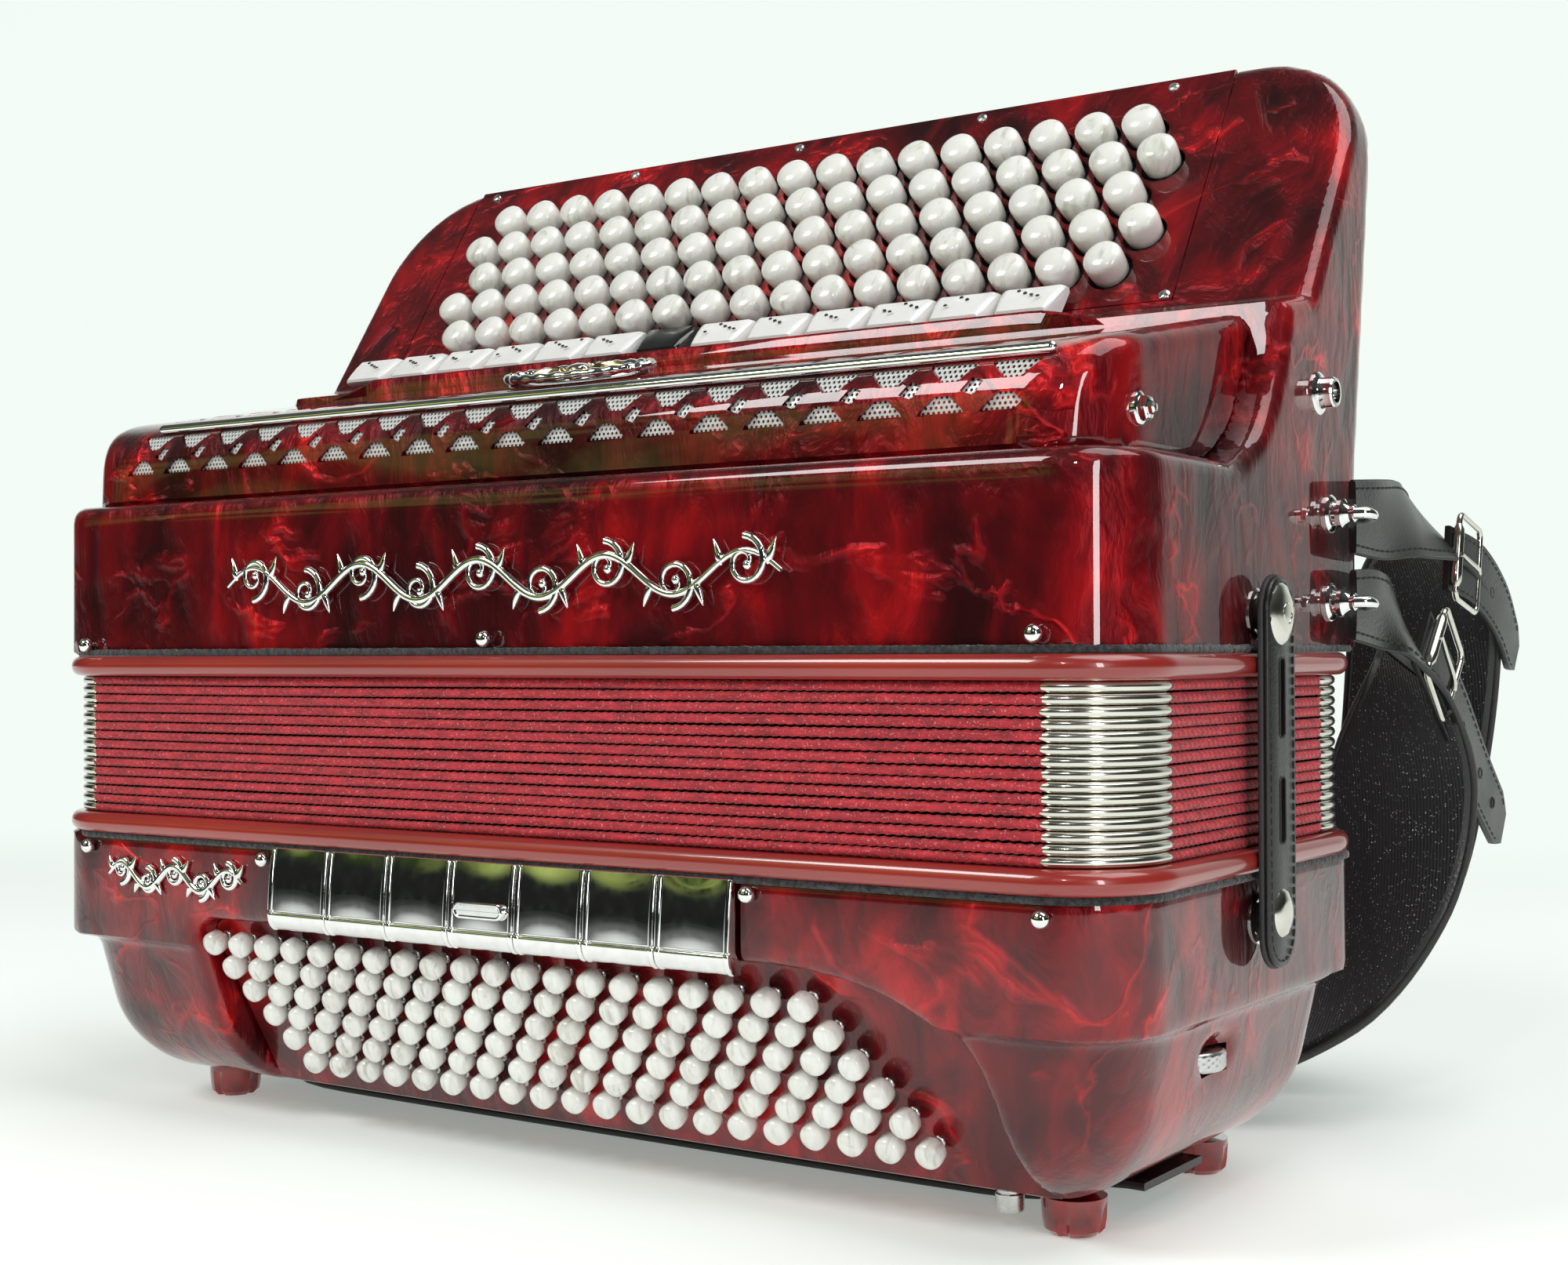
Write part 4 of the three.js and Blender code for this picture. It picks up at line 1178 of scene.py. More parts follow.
def vine(low, high, middle, height, count):
    """Generic metal scrollwork: a waving stem with a volute in each bend, mirrored about its middle."""
    length = high - low
    t = np.linspace(0, 1, 160)
    stem = np.column_stack([low + length * t, middle + 0.32 * height * np.sin(count * np.pi * t), 0 * t])
    parts = [tube(stem, 1.5 - 0.7 * np.abs(2 * t - 1) ** 3, 10)]
    for k in range(count):
        centre = (k + 0.5) / count
        up = 1 if k % 2 else -1
        hand = 1 if centre < 0.5 else -1
        curl = volute(1.35, 0.40 * height, 1.35, hand)
        place = Matrix.Translation((low + length * centre, middle + up * 0.26 * height, 0))
        parts.append(moved(curl, place @ Matrix.Diagonal((1, -up, 1, 1))))
        for step in (-0.32, 0.32):
            x = low + length * (centre + step / count)
            tip = middle - up * 0.5 * height
            root = middle - up * 0.1 * height
            leaf = [(x, root, 0), (x + step * 3, (middle + tip) / 2, 0), (x + step * 9, tip, 0)]
            parts.append(tube(spline(leaf, 9), 1.45 * np.sin(np.linspace(0.35, 2.95, 9)), 8))
    return join(parts)


SCROLL_DEPTH = 2.9
SCROLLS = {
    "treble": {"low": -124, "high": 117, "middle": 197.5, "height": 20, "count": 9},
    "bass": {"low": -190, "high": -117, "middle": 91.2, "height": 13, "count": 5},
}


def scrollwork():
    for body, span in SCROLLS.items():
        points, faces = vine(**span)
        upright = np.column_stack([points[:, 0], SCROLL_DEPTH + 0.85 * points[:, 2], points[:, 1]])
        make(f"{body}_scrollwork", (upright, faces), CHROME, body, 60)


# ---- treble board ----
def board_places():
    """The place of every treble button on the board, row by row."""
    rows = []
    for row, (count, shift) in enumerate(BOARD_ROWS):
        first = BOARD_FIRST + shift * BOARD_PITCH
        rows.append([(first + k * BOARD_PITCH, -row * BOARD_STEP) for k in range(count)])
    return rows


def button_row(places, profile, stem, seed, steps):
    """Caps on their stems, each with its own small lean and turn."""
    rng = np.random.default_rng(seed)
    cap = lathe(profile, steps)
    post = lathe([(0, -5.2), (stem, -5.2), (stem, 4.0), (0, 4.0)], 8)
    parts = []
    for x, y in places:
        lean, turn = rng.normal(0, 0.9, 2), rng.uniform(0, 360)
        tilt = Matrix.Rotation(math.radians(lean[0]), 4, "X") @ Matrix.Rotation(math.radians(lean[1]), 4, "Y")
        place = Matrix.Translation((x, y, rng.normal(0, 0.12)))
        spin = Matrix.Rotation(math.radians(turn), 4, "Z")
        parts += [moved(cap, place @ tilt @ spin), moved(post, Matrix.Translation((x, y, 0)))]
    return join(parts)


def board_panel(width, depth, radius, steps=5):
    """A rounded rectangle on the board, centred on its plate."""
    return [(x - 6.5, y - 29) for x, y in rounded(width, depth, radius, steps)]


def treble_plate():
    lower, upper = board_panel(365, 106, 1.4, 3), board_panel(364.4, 105.4, 1.2, 3)
    spots = [spot for row in board_places() for spot in row]

    def level(edge, radius, z):
        return [edge] + [ring(x, y, radius)[::-1] for x, y in spots], z

    levels = [level(lower, 8.15, -2.5), level(lower, 8.15, -0.5), level(upper, 8.55, 0.0)]
    rail = slab([(x - 6.5, y + 25.4) for x, y in rounded(364, 3.0, 0.4, 2)], BED_DEPTH, -0.4, 0.3)
    plate = moved(join([plate_with_holes(levels), rail]), BOARD_FACE)
    make("treble_button_plate_skin", plate, PEARLOID, "treble", 30, replaces=["treble_button_plate"])
    # A near-black felt bed under the plate: painted shade, seen down the gaps round the caps.
    bed = slab(board_panel(364, 105, 1.5), BED_DEPTH, -8.0, 0.2)
    make("treble_button_shade_bed", moved(bed, BOARD_FACE), FELT, "treble")


BED_DEPTH = -8.9
TREBLE_CAP = [(0, -1.5), (6.2, -1.5), (6.7, -1.0), (7.05, 2.0), (7.25, 4.6), (7.25, 6.4), (7.0, 7.5)]
TREBLE_CAP += [(6.3, 8.5), (4.6, 9.3), (2.4, 9.75), (0, 9.9)]
BASS_CAP = [(0, 3.9), (2.6, 3.9), (2.9, 3.2), (3.9, 3.2), (4.35, 3.7), (4.45, 6.0), (4.4, 7.3)]
BASS_CAP += [(4.1, 8.2), (3.3, 8.9), (1.8, 9.3), (0, 9.4)]


def treble_buttons():
    for number, places in enumerate(board_places(), 1):
        row = moved(button_row(places, TREBLE_CAP, 2.2, number, 28), BOARD_FACE)
        node = [f"treble_button_row_{number}"]
        make(f"treble_buttons_{number}", row, PEARL, f"treble_row_{number}", 50, replaces=node)


def slotted_screw(name, place, radius, body):
    crown = [(radius * 0.8, 0.7), (radius * 0.4, 0.9), (0, 0.95)]
    head = lathe([(0, -1), (radius, -1), (radius, 0.25)] + crown, 20)
    screw = make(name, moved(head, place), STEEL, body, 30)
    slot = box_part((-radius * 1.1, -0.3, 0.35), (radius * 1.1, 0.3, 2))
    cut(screw, moved(slot, place))


SCREW_SPOTS = [(-178.3, 22.0), (-98.7, 22.3), (-13.1, 22.3), (72.2, 22.3), (152.3, 22.0), (172.6, -79.5)]


def board_screws():
    for number, (x, y) in enumerate(SCREW_SPOTS, 1):
        place = BOARD_FACE @ Matrix.Translation((x, y, 0))
        slotted_screw(f"board_screw_{number}", place @ Matrix.Rotation(0.7 * number, 4, "Z"), 2.1, "treble")


TABS = 13
BLACK_TAB = 7
TAB_FIRST, TAB_PITCH = -208.0, 26.6
TAB_SIDE = [(146.0, 290.2), (139.6, 290.0), (138.4, 290.7), (138.2, 291.8), (141.0, 294.6)]
TAB_SIDE += [(145.0, 297.9), (149.4, 301.0), (151.0, 300.9), (151.6, 299.4)]


def register_tab(number):
    """A roof-tile tab: full width against the board, drawn in and bevelled towards the player's front."""
    middle = TAB_FIRST + (number - 0.5) * TAB_PITCH
    half = TAB_PITCH / 2 - 0.35
    side = np.array(TAB_SIDE)
    forward = np.clip((151 - side[:, 0]) / 12.6, 0, 1)
    rings = []
    for u in (-1, -0.985, -0.95, -0.9, -0.84, -0.78, -0.4, 0, 0.4, 0.78, 0.84, 0.9, 0.95, 0.985, 1):
        edge = max(0, abs(u) - 0.78) / 0.22
        shrink = 1 - 0.2 * forward
        drop = np.column_stack([1.6 * edge**2 * forward, -1.1 * edge**2 * (1 - 0.4 * forward)])
        dish = np.column_stack([0 * forward, -0.25 * (1 - u * u) * np.sin(np.pi * forward)])
        low = np.maximum(side + drop + dish, (0, 289.9))
        rings.append(np.column_stack([middle + u * half * shrink, low]))
    color = BLACK if number == BLACK_TAB else WHITE
    body, node = f"treble_switch_{number}", f"treble_register_{number}"
    make(f"register_tab_{number}", loft(rings), color, body, 35, replaces=[node])
    if number == BLACK_TAB:
        return
    dots = []
    for k in range(3 + number % 3):
        t = 0.25 + 0.2 * ((k * 7 + number * 3) % 4)
        y, z = 139.6 + 9.6 * t, 295.75 + 5.4 * t - 0.45 * math.sin(math.pi * t)
        spot = lathe([(0, -0.3), (0.75, -0.3), (0.6, 0.12), (0, 0.2)], 10)
        dots.append(moved(spot, facing(middle - 5 + 3.4 * k, y, z, (0, -0.49, 0.87))))
    make(f"register_marks_{number}", join(dots), INK, body)


# ---- bass front ----
def bass_plate():
    outline = mouth(-0.4, 14.3)
    slope = math.cos(BASS_TILT)
    flat = [(x, (z - BASS_PLATE[1]) / slope) for x, z in outline]
    skin = slab(flat[::-1], -2.5, 0.0, 0.15)
    plate = moved(skin, BASS_FACE)
    make("bass_button_plate_skin", plate, PEARLOID, "bass", replaces=["bass_button_plate"])


def bass_buttons():
    collar = lathe([(0, -0.2), (2.2, -0.2), (2.0, 0.5), (1.4, 0.9), (0, 0.9)], 12)
    collars = []
    for row in range(BASS_ROWS):
        first = BASS_FIRST + row * BASS_SHIFT
        places = [(first + k * BASS_PITCH, -row * BASS_STEP) for k in range(BASS_COLUMNS)]
        part = moved(button_row(places, BASS_CAP, 1.3, 20 + row, 22), BASS_FACE)
        node = [f"bass_button_row_{row + 1}"]
        make(f"bass_buttons_{row + 1}", part, BASS_PEARL, f"bass_row_{row + 1}", 50, replaces=node)
        collars += [moved(collar, Matrix.Translation((x, y, 0))) for x, y in places]
    make("bass_button_collars", moved(join(collars), BASS_FACE), STEEL, "bass", slot="")


SWITCHES = 7
SWITCH_SPAN = 200


def bass_register(number):
    """A mirror-bright switch: slightly pillowed face, a rib at each side, and a lip that turns under."""
    pitch = SWITCH_SPAN / SWITCHES
    low, width = (number - 1) * pitch + 0.2 - SWITCH_SPAN / 2, pitch - 0.4
    near = [0, 0.08, 0.3, 0.65, 1.0, 1.35, 1.7, 1.95, 2.1]
    across = near + list(np.linspace(2.5, width - 2.5, 11)) + [width - u for u in near[::-1]]
    face = np.linspace(104.9, 83.6, 12)
    rise = (face - 83.6) / 21.3
    swell = 1 - (2 * rise - 1) ** 2
    turn = np.radians(np.linspace(0, 72, 8))
    lip = np.column_stack([-0.7 + 4.4 * (1 - np.cos(turn)), 81.9 - 5.8 * np.sin(turn)])
    rings = []
    for u in across:
        rib = math.sqrt(max(0, 1 - (min(u, width - u) - 1.0) ** 2)) if min(u, width - u) < 2 else 0
        bulge = 0 if rib else 0.18 * max(0, 1 - ((u - width / 2) / (width / 2 - 2.2)) ** 2)
        lean = 0.9 * rise + 1.1 * rise**2 - 0.4 - bulge * swell - 0.9 * rib
        front = list(zip(lean, face))
        step = [(0.7 - 1.1 * rib, 83.2), (0.7 - 1.1 * rib, 82.9)]
        step += [(-0.3 - 0.8 * rib, 82.7), (-0.6 - 0.6 * rib, 82.4)]
        edge = [(y - 0.55 * rib, z - 0.25 * rib * k / 7) for k, (y, z) in enumerate(lip)]
        section = [(5.7, 105.2), (2.0 - rib, 105.2)] + front + step + edge + [(5.7, 76.2)]
        rings.append([(low + u, y, z) for y, z in section])
    body = f"bass_switch_{number}"
    make(f"bass_switch_plate_{number}", loft(rings), CHROME, body, 35, replaces=[f"bass_register_{number}"])
    if number == (SWITCHES + 1) / 2:
        rim = tube([(x, y, 1.7) for x, y in rounded(20, 4.2, 2.05, 6)], 0.55, 8, True)
        bar = join([slab(rounded(20, 4.6, 2.25, 6), 0.2, 1.9, 0.8), rim])
        place = facing(low + width / 2, 0.1, 89.5, FRONT_WAY)
        make("bass_switch_bar", moved(bar, place), CHROME, body)


FOOT_PROFILE = [(0, 0), (7.6, 0), (9.2, 1.6), (9.7, 4.5), (10, 9.5), (10, 11.2), (0, 11.2)]
FOOT_STEPS = 40
FOOT_X = 184
FOOT_NOTCH_TOP = 7


def turned_angle(points):
    return np.arctan2(points[:, 1], points[:, 0])


def feet():
    """Four cones, each with four notches round its lower part."""
    notches = np.where(np.arange(FOOT_STEPS) % 10 < 2, 0.82, 1.0)
    for side, x in (("left", -FOOT_X), ("right", FOOT_X)):
        for place, y in (("front", 58.7), ("back", 150)):
            points, faces = lathe(FOOT_PROFILE, FOOT_STEPS)
            index = np.round(turned_angle(points) / (2 * np.pi) * FOOT_STEPS).astype(int) % FOOT_STEPS
            points[:, :2] *= np.where(points[:, 2] < FOOT_NOTCH_TOP, notches[index], 1.0)[:, None]
            name = f"foot_{place}_{side}"
            part = moved((points, faces), Matrix.Translation((x, y, 0)))
            make(name + "_cone", part, RUBY, "bass", 30, replaces=[name])


AIR_BUTTON_AT = (167, 50, 0)
AIR_BUTTON = [(0, 5.5), (3.6, 5.5), (4.2, 5.9), (4.45, 6.8), (4.45, 11), (3.9, 11.4), (3.9, 12.2)]
AIR_BUTTON += [(4.45, 12.6), (4.45, 26), (0, 26)]


def air_button():
    part = moved(lathe(AIR_BUTTON, 32), Matrix.Translation(AIR_BUTTON_AT))
    make("air_button_cap", part, STEEL, "air_valve", 30, replaces=["air_button"])


WHEEL_KNURL = 96
WHEEL_RADIUS = 12.8


def strap_wheel():
    """The wheel that tightens the hand strap, its rim crossed by a diamond knurl."""
    profile = [(0, 47.5), (12.0, 47.5), (12.7, 48.1)]
    profile += [(WHEEL_RADIUS, z) for z in np.linspace(48.5, 52.5, 9)]
    profile += [(12.7, 52.9), (12.0, 53.5), (0, 53.5)]
    points, faces = lathe(profile, WHEEL_KNURL)
    angle = WHEEL_KNURL / 4 * turned_angle(points)
    rim = np.hypot(points[:, 0], points[:, 1]) > WHEEL_RADIUS - 0.05
    weave = np.cos(angle + 3.2 * points[:, 2]) + np.cos(angle - 3.2 * points[:, 2])
    points[:, :2] *= (1 + rim * 0.008 * weave)[:, None]
    wheel = moved((points, faces), Matrix.Translation((*WHEEL_AT, 0)))
    make("strap_wheel_knurled", wheel, STEEL, "wheel", replaces=["strap_wheel"])


# ---- end hardware: profiles as (radius, height above the end of the case) ----
SIDES = ((1, "right"), (-1, "left"))
NUT_SEAT = [(0, -1), (5.0, -1), (5.0, 0.6), (4.5, 1.0), (3.7, 1.2)]
NUT_HEXAGON = [(3.9, 0.8), (3.9, 3.0), (3.4, 3.4), (2.3, 3.6), (2.0, 4.6), (1.3, 5.2), (0, 5.4)]
FLANGE = [(0, -1), (7.0, -1), (7.0, 0.6), (6.3, 1.2), (5.2, 1.5), (5.0, 2.1), (5.0, 5.6), (4.6, 6.2)]
FLANGE += [(3.5, 6.3), (3.3, 2.6), (0, 2.6)]
STUD = [(0, -1), (6.4, -1), (6.4, 0.8), (5.6, 1.6), (4.2, 2.0), (4.0, 3.0), (5.0, 3.6), (5.0, 5.0)]
STUD += [(3.9, 5.6), (2.6, 7.2), (2.9, 8.6), (1.6, 9.8), (0, 10)]
STUD_HEIGHTS = (218, 189)
SNAP_SEAT = [(0, -1), (7.9, -1), (7.9, 0.5), (7.0, 1.2), (5.4, 1.0), (4.6, 1.8), (4.6, 3.6)]
SNAP_SEAT += [(3.8, 4.1), (0, 4.2)]
SNAP_CAP = [(0, 3.0), (9.4, 3.0), (9.5, 3.6), (8.4, 4.6), (5.0, 5.4), (0, 5.7)]
SMALL_SNAP_CAP = [(0, 3.0), (7.2, 3.0), (7.3, 3.6), (6.4, 4.5), (3.8, 5.1), (0, 5.3)]


def on_end(part, side, reach, y, z):
    """A part made on the xy plane, set on an end of the case at this reach from the middle."""
    return moved(part, facing(side * reach, y, z, (side, 0, 0), (0, 1, 0)))


def grille_nut():
    """A hexagon nut on its round seat, the hexagon closed below."""
    steps = 32
    seat, hexagon = lathe(NUT_SEAT, steps), lathe(NUT_HEXAGON, 6)
    # Known fault: this face was meant to close the seat, but it runs on through the hexagon's points.
    run_on = tuple(range(4 * steps, 5 * steps))
    return join([(seat[0], seat[1] + [run_on]), (hexagon[0], hexagon[1] + [tuple(range(5, -1, -1))])])


def end_hardware():
    nut, stud, flange, snap_seat = grille_nut(), lathe(STUD, 28), lathe(FLANGE, 36), lathe(SNAP_SEAT, 36)
    for side, name in SIDES:
        parts = [on_end(stud, side, HALF, 163, z) for z in STUD_HEIGHTS]
        parts.append(on_end(flange, side, HALF, 153, 256.8))
        make(f"strap_studs_{name}", join(parts), CHROME, "treble", 30)
        seated = on_end(nut, side, abs(GRILLE_ENDS[side > 0]), 42.4, 242.5)
        make(f"grille_nut_{name}", seated, CHROME, "treble", 30)
        for body, z in (("treble", SNAP_TREBLE), ("bass", SNAP_BASS)):
            make(f"snap_base_{body}_{name}", on_end(snap_seat, side, HALF, SNAP_Y, z), CHROME, body, 30)


def stadium(half_width, low, high, inset=0.0):
    """An upright band outline with round ends, as (y, z) about the bellows straps' line."""
    radius = half_width - inset
    top, bottom = high - half_width, low + half_width
    arch = np.linspace(0, np.pi, 15)
    points = [(SNAP_Y + radius * math.cos(a), top + radius * math.sin(a)) for a in arch]
    return points + [(SNAP_Y - radius * math.cos(a), bottom - radius * math.sin(a)) for a in arch]


def stitch_row(path, length, gap, radius, lift):
    """Stitches along a path of points with their outward directions; each sinks at its ends."""
    path = np.asarray(path, float)
    steps = np.linalg.norm(np.diff(path[:, :3], axis=0), axis=1)
    travel = np.concatenate([[0], np.cumsum(steps)])
    parts = []
    for start in np.arange(0.5, travel[-1] - length, length + gap):
        at = [np.array([np.interp(s, travel, path[:, c]) for c in range(6)]) for s in (start, start + length)]
        parts.append(capsule(at[0][:3] + lift * at[0][3:], at[1][:3] + lift * at[1][3:], radius))
    return join(parts)


BELLOWS_STRAP_HALF_WIDTH = 11.5
BELLOWS_STRAP_ENDS = (SNAP_BASS - 15, SNAP_TREBLE + 12)
BELLOWS_STRAP_INSIDE = HALF + 4.5
BELLOWS_STRAP_OUTSIDE = BELLOWS_STRAP_INSIDE + 3.3


def strap_slot(low, high):
    """A slot with tapered ends in a bellows strap."""
    upper = ((1, low), (1, high), (0.5, high + 1), (-0.5, high + 1))
    lower = ((-1, high), (-1, low), (-0.5, low - 1), (0.5, low - 1))
    return [(SNAP_Y + 2.1 * a, z) for a, z in upper + lower]


def upright(part, side):
    """A part drawn flat as (y, z, reach from the middle), stood on one end of the case."""
    points = np.asarray(part[0], float)
    return np.column_stack([side * points[:, 2], points[:, 0], points[:, 1]]), part[1]


def bellows_strap_layer(slots, inset, inside, outside, round_edge):
    edge = stadium(BELLOWS_STRAP_HALF_WIDTH, *BELLOWS_STRAP_ENDS, inset)
    eased = stadium(BELLOWS_STRAP_HALF_WIDTH, *BELLOWS_STRAP_ENDS, inset + round_edge)
    cuts = [hole[::-1] for hole in slots]
    levels = [([eased] + cuts, inside), ([edge] + cuts, inside + round_edge)]
    levels += [([edge] + cuts, outside - round_edge), ([eased] + cuts, outside)]
    return plate_with_holes(levels)


def bellows_straps():
    """A two-layer leather band at each end that holds the bellows shut, with a snap at both its ends."""
    slots = [strap_slot(148, 170), strap_slot(116, 134)]
    inside, outside = BELLOWS_STRAP_INSIDE, BELLOWS_STRAP_OUTSIDE
    lining = bellows_strap_layer(slots, 0, inside, inside + 1.6, 0.3)
    face = bellows_strap_layer(slots, 0.5, inside + 1.65, outside, 0.5)
    seam = stadium(BELLOWS_STRAP_HALF_WIDTH, *BELLOWS_STRAP_ENDS, 2.4)
    seam = np.array(seam + seam[:1])
    line = np.column_stack([seam, np.full(len(seam), outside), 0 * seam, np.ones(len(seam))])
    stitches = [stitch_row(line, 2.3, 0.9, 0.32, 0.02)]
    stitches += [tube([(y, z, outside) for y, z in hole], 0.35, 6, True) for hole in slots]
    mark = tube([(x, y, 5.55) for x, y in ring(0, 0, 3.2)], 0.22, 6, True)
    caps = [(lathe(SNAP_CAP, 36), SNAP_TREBLE), (mark, SNAP_TREBLE)]
    caps.append((lathe(SMALL_SNAP_CAP, 32), SNAP_BASS + 2))
    for side, name in SIDES:
        body = f"bellows_strap_{name}_body"
        make(f"bellows_strap_lining_{name}", upright(lining, side), EDGE, body, 50, "strap_leather")
        node = [f"bellows_strap_{name}"]
        make(f"bellows_strap_face_{name}", upright(face, side), LEATHER, body, 50, "strap_leather", node)
        make(f"bellows_strap_stitches_{name}", upright(join(stitches), side), THREAD, body)
        snaps = [on_end(part, side, inside - 0.2, SNAP_Y, z) for part, z in caps]
        make(f"bellows_strap_snaps_{name}", join(snaps), NICKEL, body)


# ---- straps ----
# Half of each shoulder strap, from the stud on the end of the case to the floor behind it:
# place (x, y, z), the way the band's width points there, its width and its thickness.
UPPER_STRAP = [
    (232.6, 166, 217, 0, 0, 1, 25, 3),
    (232.6, 196, 217.5, 0, 0, 1, 28, 3),
    (231, 232, 219, -0.35, 0, 0.94, 29, 3),
    (224, 280, 214, -0.8, 0, 0.6, 36, 4),
    (208, 320, 188, -1, 0, 0.15, 58, 8),
    (198, 336, 137, -1, 0.1, 0, 62, 9),
    (190, 332, 82, -0.95, 0.3, 0, 62, 9),
    (168, 318, 36, -0.75, 0.66, 0, 62, 9),
    (125, 307, 12, -0.35, 0.94, 0, 62, 9),
    (62, 305, 6, -0.08, 1, 0, 62, 9),
    (0, 305, 6, 0, 1, 0, 62, 9),
]
LOWER_STRAP = [
    (232.6, 166, 188, 0, 0, 1, 24, 3),
    (232.6, 190, 187, 0, 0, 1, 27, 3),
    (232, 216, 182, -0.35, 0.05, 0.94, 28, 3),
    (227, 246, 163, -0.8, 0.1, 0.6, 36, 4),
    (216, 268, 128, -1, 0, 0.1, 54, 8),
    (206, 270, 86, -0.98, 0.15, 0, 60, 9),
    (188, 258, 45, -0.85, 0.5, 0, 60, 9),
    (152, 242, 15, -0.45, 0.9, 0, 60, 9),
    (95, 236, 6.2, -0.12, 1, 0, 60, 9),
    (0, 235, 6, 0, 1, 0, 60, 9),
]


def strap_frames(stations, count):
    """Smooth stations along a band, each as (place, across, out, width, thickness)."""
    flow = spline(stations, count)
    along = np.gradient(flow[:, :3], axis=0)
    along /= np.linalg.norm(along, axis=1)[:, None]
    across = flow[:, 3:6] - along * (flow[:, 3:6] * along).sum(1)[:, None]
    across /= np.linalg.norm(across, axis=1)[:, None]
    return flow[:, :3], across, np.cross(along, across), flow[:, 6], flow[:, 7]


def whole_band(half):
    """A band's frames carried on past the middle of the case to the other end, mirrored."""
    place, across, out, width, thick = half
    mirror = np.array((-1, 1, 1))
    back = slice(-2, None, -1)
    return (
        np.concatenate([place, place[back] * mirror]),
        np.concatenate([across, across[back] * mirror]),
        np.concatenate([out, out[back] * mirror]),
        np.concatenate([width, width[back]]),
        np.concatenate([thick, thick[back]]),
    )


def band_loft(frames, section):
    """section(width, thickness) gives (across, out) pairs; they are carried along the frames."""
    rings = []
    for place, across, out, width, thick in zip(*frames):
        rings.append([place + a * across + b * out for a, b in section(width, thick)])
    return loft(rings)


CROWN = 3.2  # the power by which a band's face falls off towards its edges


def crowned(width, thick, inset=0.0, steps=9):
    """A section with full round edges and a crowned face on both sides."""
    half = width / 2 - inset
    edge = min(thick / 2, 1.2)
    us = np.linspace(0.985, -0.985, steps)
    upper = [(half * u, thick / 2 - (thick / 2 - edge) * abs(u) ** CROWN) for u in us]
    upper = [(half, edge * 0.4)] + upper + [(-half, edge * 0.4)]
    return upper + [(-a, -b) for a, b in upper]


OUTER_SHARE, INNER_SHARE = 0.96, 0.86  # how much of the half thickness each face takes up
PAD_FROM_WIDTH = 34
SEAM_INSET = 3.2


def shoulder_strap(name, stations, count):
    """Padded leather band with a glittering woven lining inside, welted edges and stitched seams."""
    frames = whole_band(strap_frames(stations, count))
    place, across, out, width, thick = frames

    def leather_section(w, t):
        return [(a, b * (OUTER_SHARE if b > 0 else INNER_SHARE)) for a, b in crowned(w, t, 0.6)]

    outer = band_loft(frames, leather_section)
    body = make(f"{name}_leather", outer, LEATHER, "treble", 60, "strap_padding", [name])
    pad = width > PAD_FROM_WIDTH
    lining_frames = tuple(values[pad] for values in frames)

    def lining_section(w, t):
        half = w / 2 - 3.4
        us = np.linspace(-1, 1, 11)
        crown = [(half * u, -t / 2 * (1 - 0.34 * abs(u) ** CROWN)) for u in us]
        return [(a, b - 0.25) for a, b in crown] + [(a, b + 1.2) for a, b in crown[::-1]]

    woven = band_loft(lining_frames, lining_section)
    lining = make(f"{name}_lining", woven, LINING, "treble", 60, "strap_padding")
    welts, seams = [], []
    for side in (-1, 1):
        edge = place + side * across * (width / 2 - 0.9)[:, None]
        welts.append(tube(edge, np.minimum(thick * 0.24, 1.5), 8))
        fall = ((width / 2 - SEAM_INSET) / (width / 2 - 0.6)) ** CROWN
        height = OUTER_SHARE * (thick / 2 - (thick / 2 - np.minimum(thick / 2, 1.2)) * fall)
        line = place + side * across * (width / 2 - SEAM_INSET)[:, None] + out * height[:, None]
        seams.append(stitch_row(np.column_stack([line, out]), 3.4, 1.5, 0.42, 0.05))
    make(f"{name}_welts", join(welts), EDGE, "treble", 60, "strap_padding")
    make(f"{name}_stitches", join(seams), THREAD, "treble")


def flat_band(points, across):
    """A smooth path with the directions across and out of a flat band that follows it."""
    path = spline(points, 26)
    along = np.gradient(path, axis=0)
    along /= np.linalg.norm(along, axis=1)[:, None]
    side = np.asarray(across, float) - along * (along @ np.asarray(across, float))[:, None]
    side /= np.linalg.norm(side, axis=1)[:, None]
    return path, side, np.cross(along, side)


def flat_seams(band, inset, height, *stitch):
    """Stitches along both edges of a flat band, on both of its faces."""
    path, across, out, width, _ = band
    seams = []
    for edge in (-1, 1):
        line = path + edge * across * (width / 2 - inset)[:, None]
        for face in (-1, 1):
            seams.append(stitch_row(np.column_stack([line + face * out * height, face * out]), *stitch))
    return seams


def handed(part, side):
    """A part made for the right end, mirrored for the left one."""
    return flipped(part) if side < 0 else part


TAIL_THICKNESS = 2.2
TAILS = {
    "upper": {
        "points": [(234, 262, 207), (236.5, 292, 201), (237, 320, 188), (236, 342, 170)],
        "across": (0, 0.25, 1),
        "widths": [24, 25, 24, 22],
        "holes": [(236.9, 306, 195)],
    },
    "lower": {
        "points": [(234, 232, 178), (236, 262, 152), (236.5, 292, 125), (236, 322, 104)],
        "across": (0, 0.62, 0.78),
        "widths": [25, 26, 25, 23],
        "holes": [(236.3, 270, 145), (236.6, 290, 127), (236.6, 306, 115)],
    },
}
BUCKLES = {
    "upper": {"centre": (237.0, 278, 205), "along": (0, 0.97, -0.22), "across": (0, 0.22, 0.97), "span": 32},
    "lower": {"centre": (238.0, 246, 168), "along": (0, 0.72, -0.70), "across": (0, 0.70, 0.72), "span": 33},
}
BUCKLE_LENGTH = 26


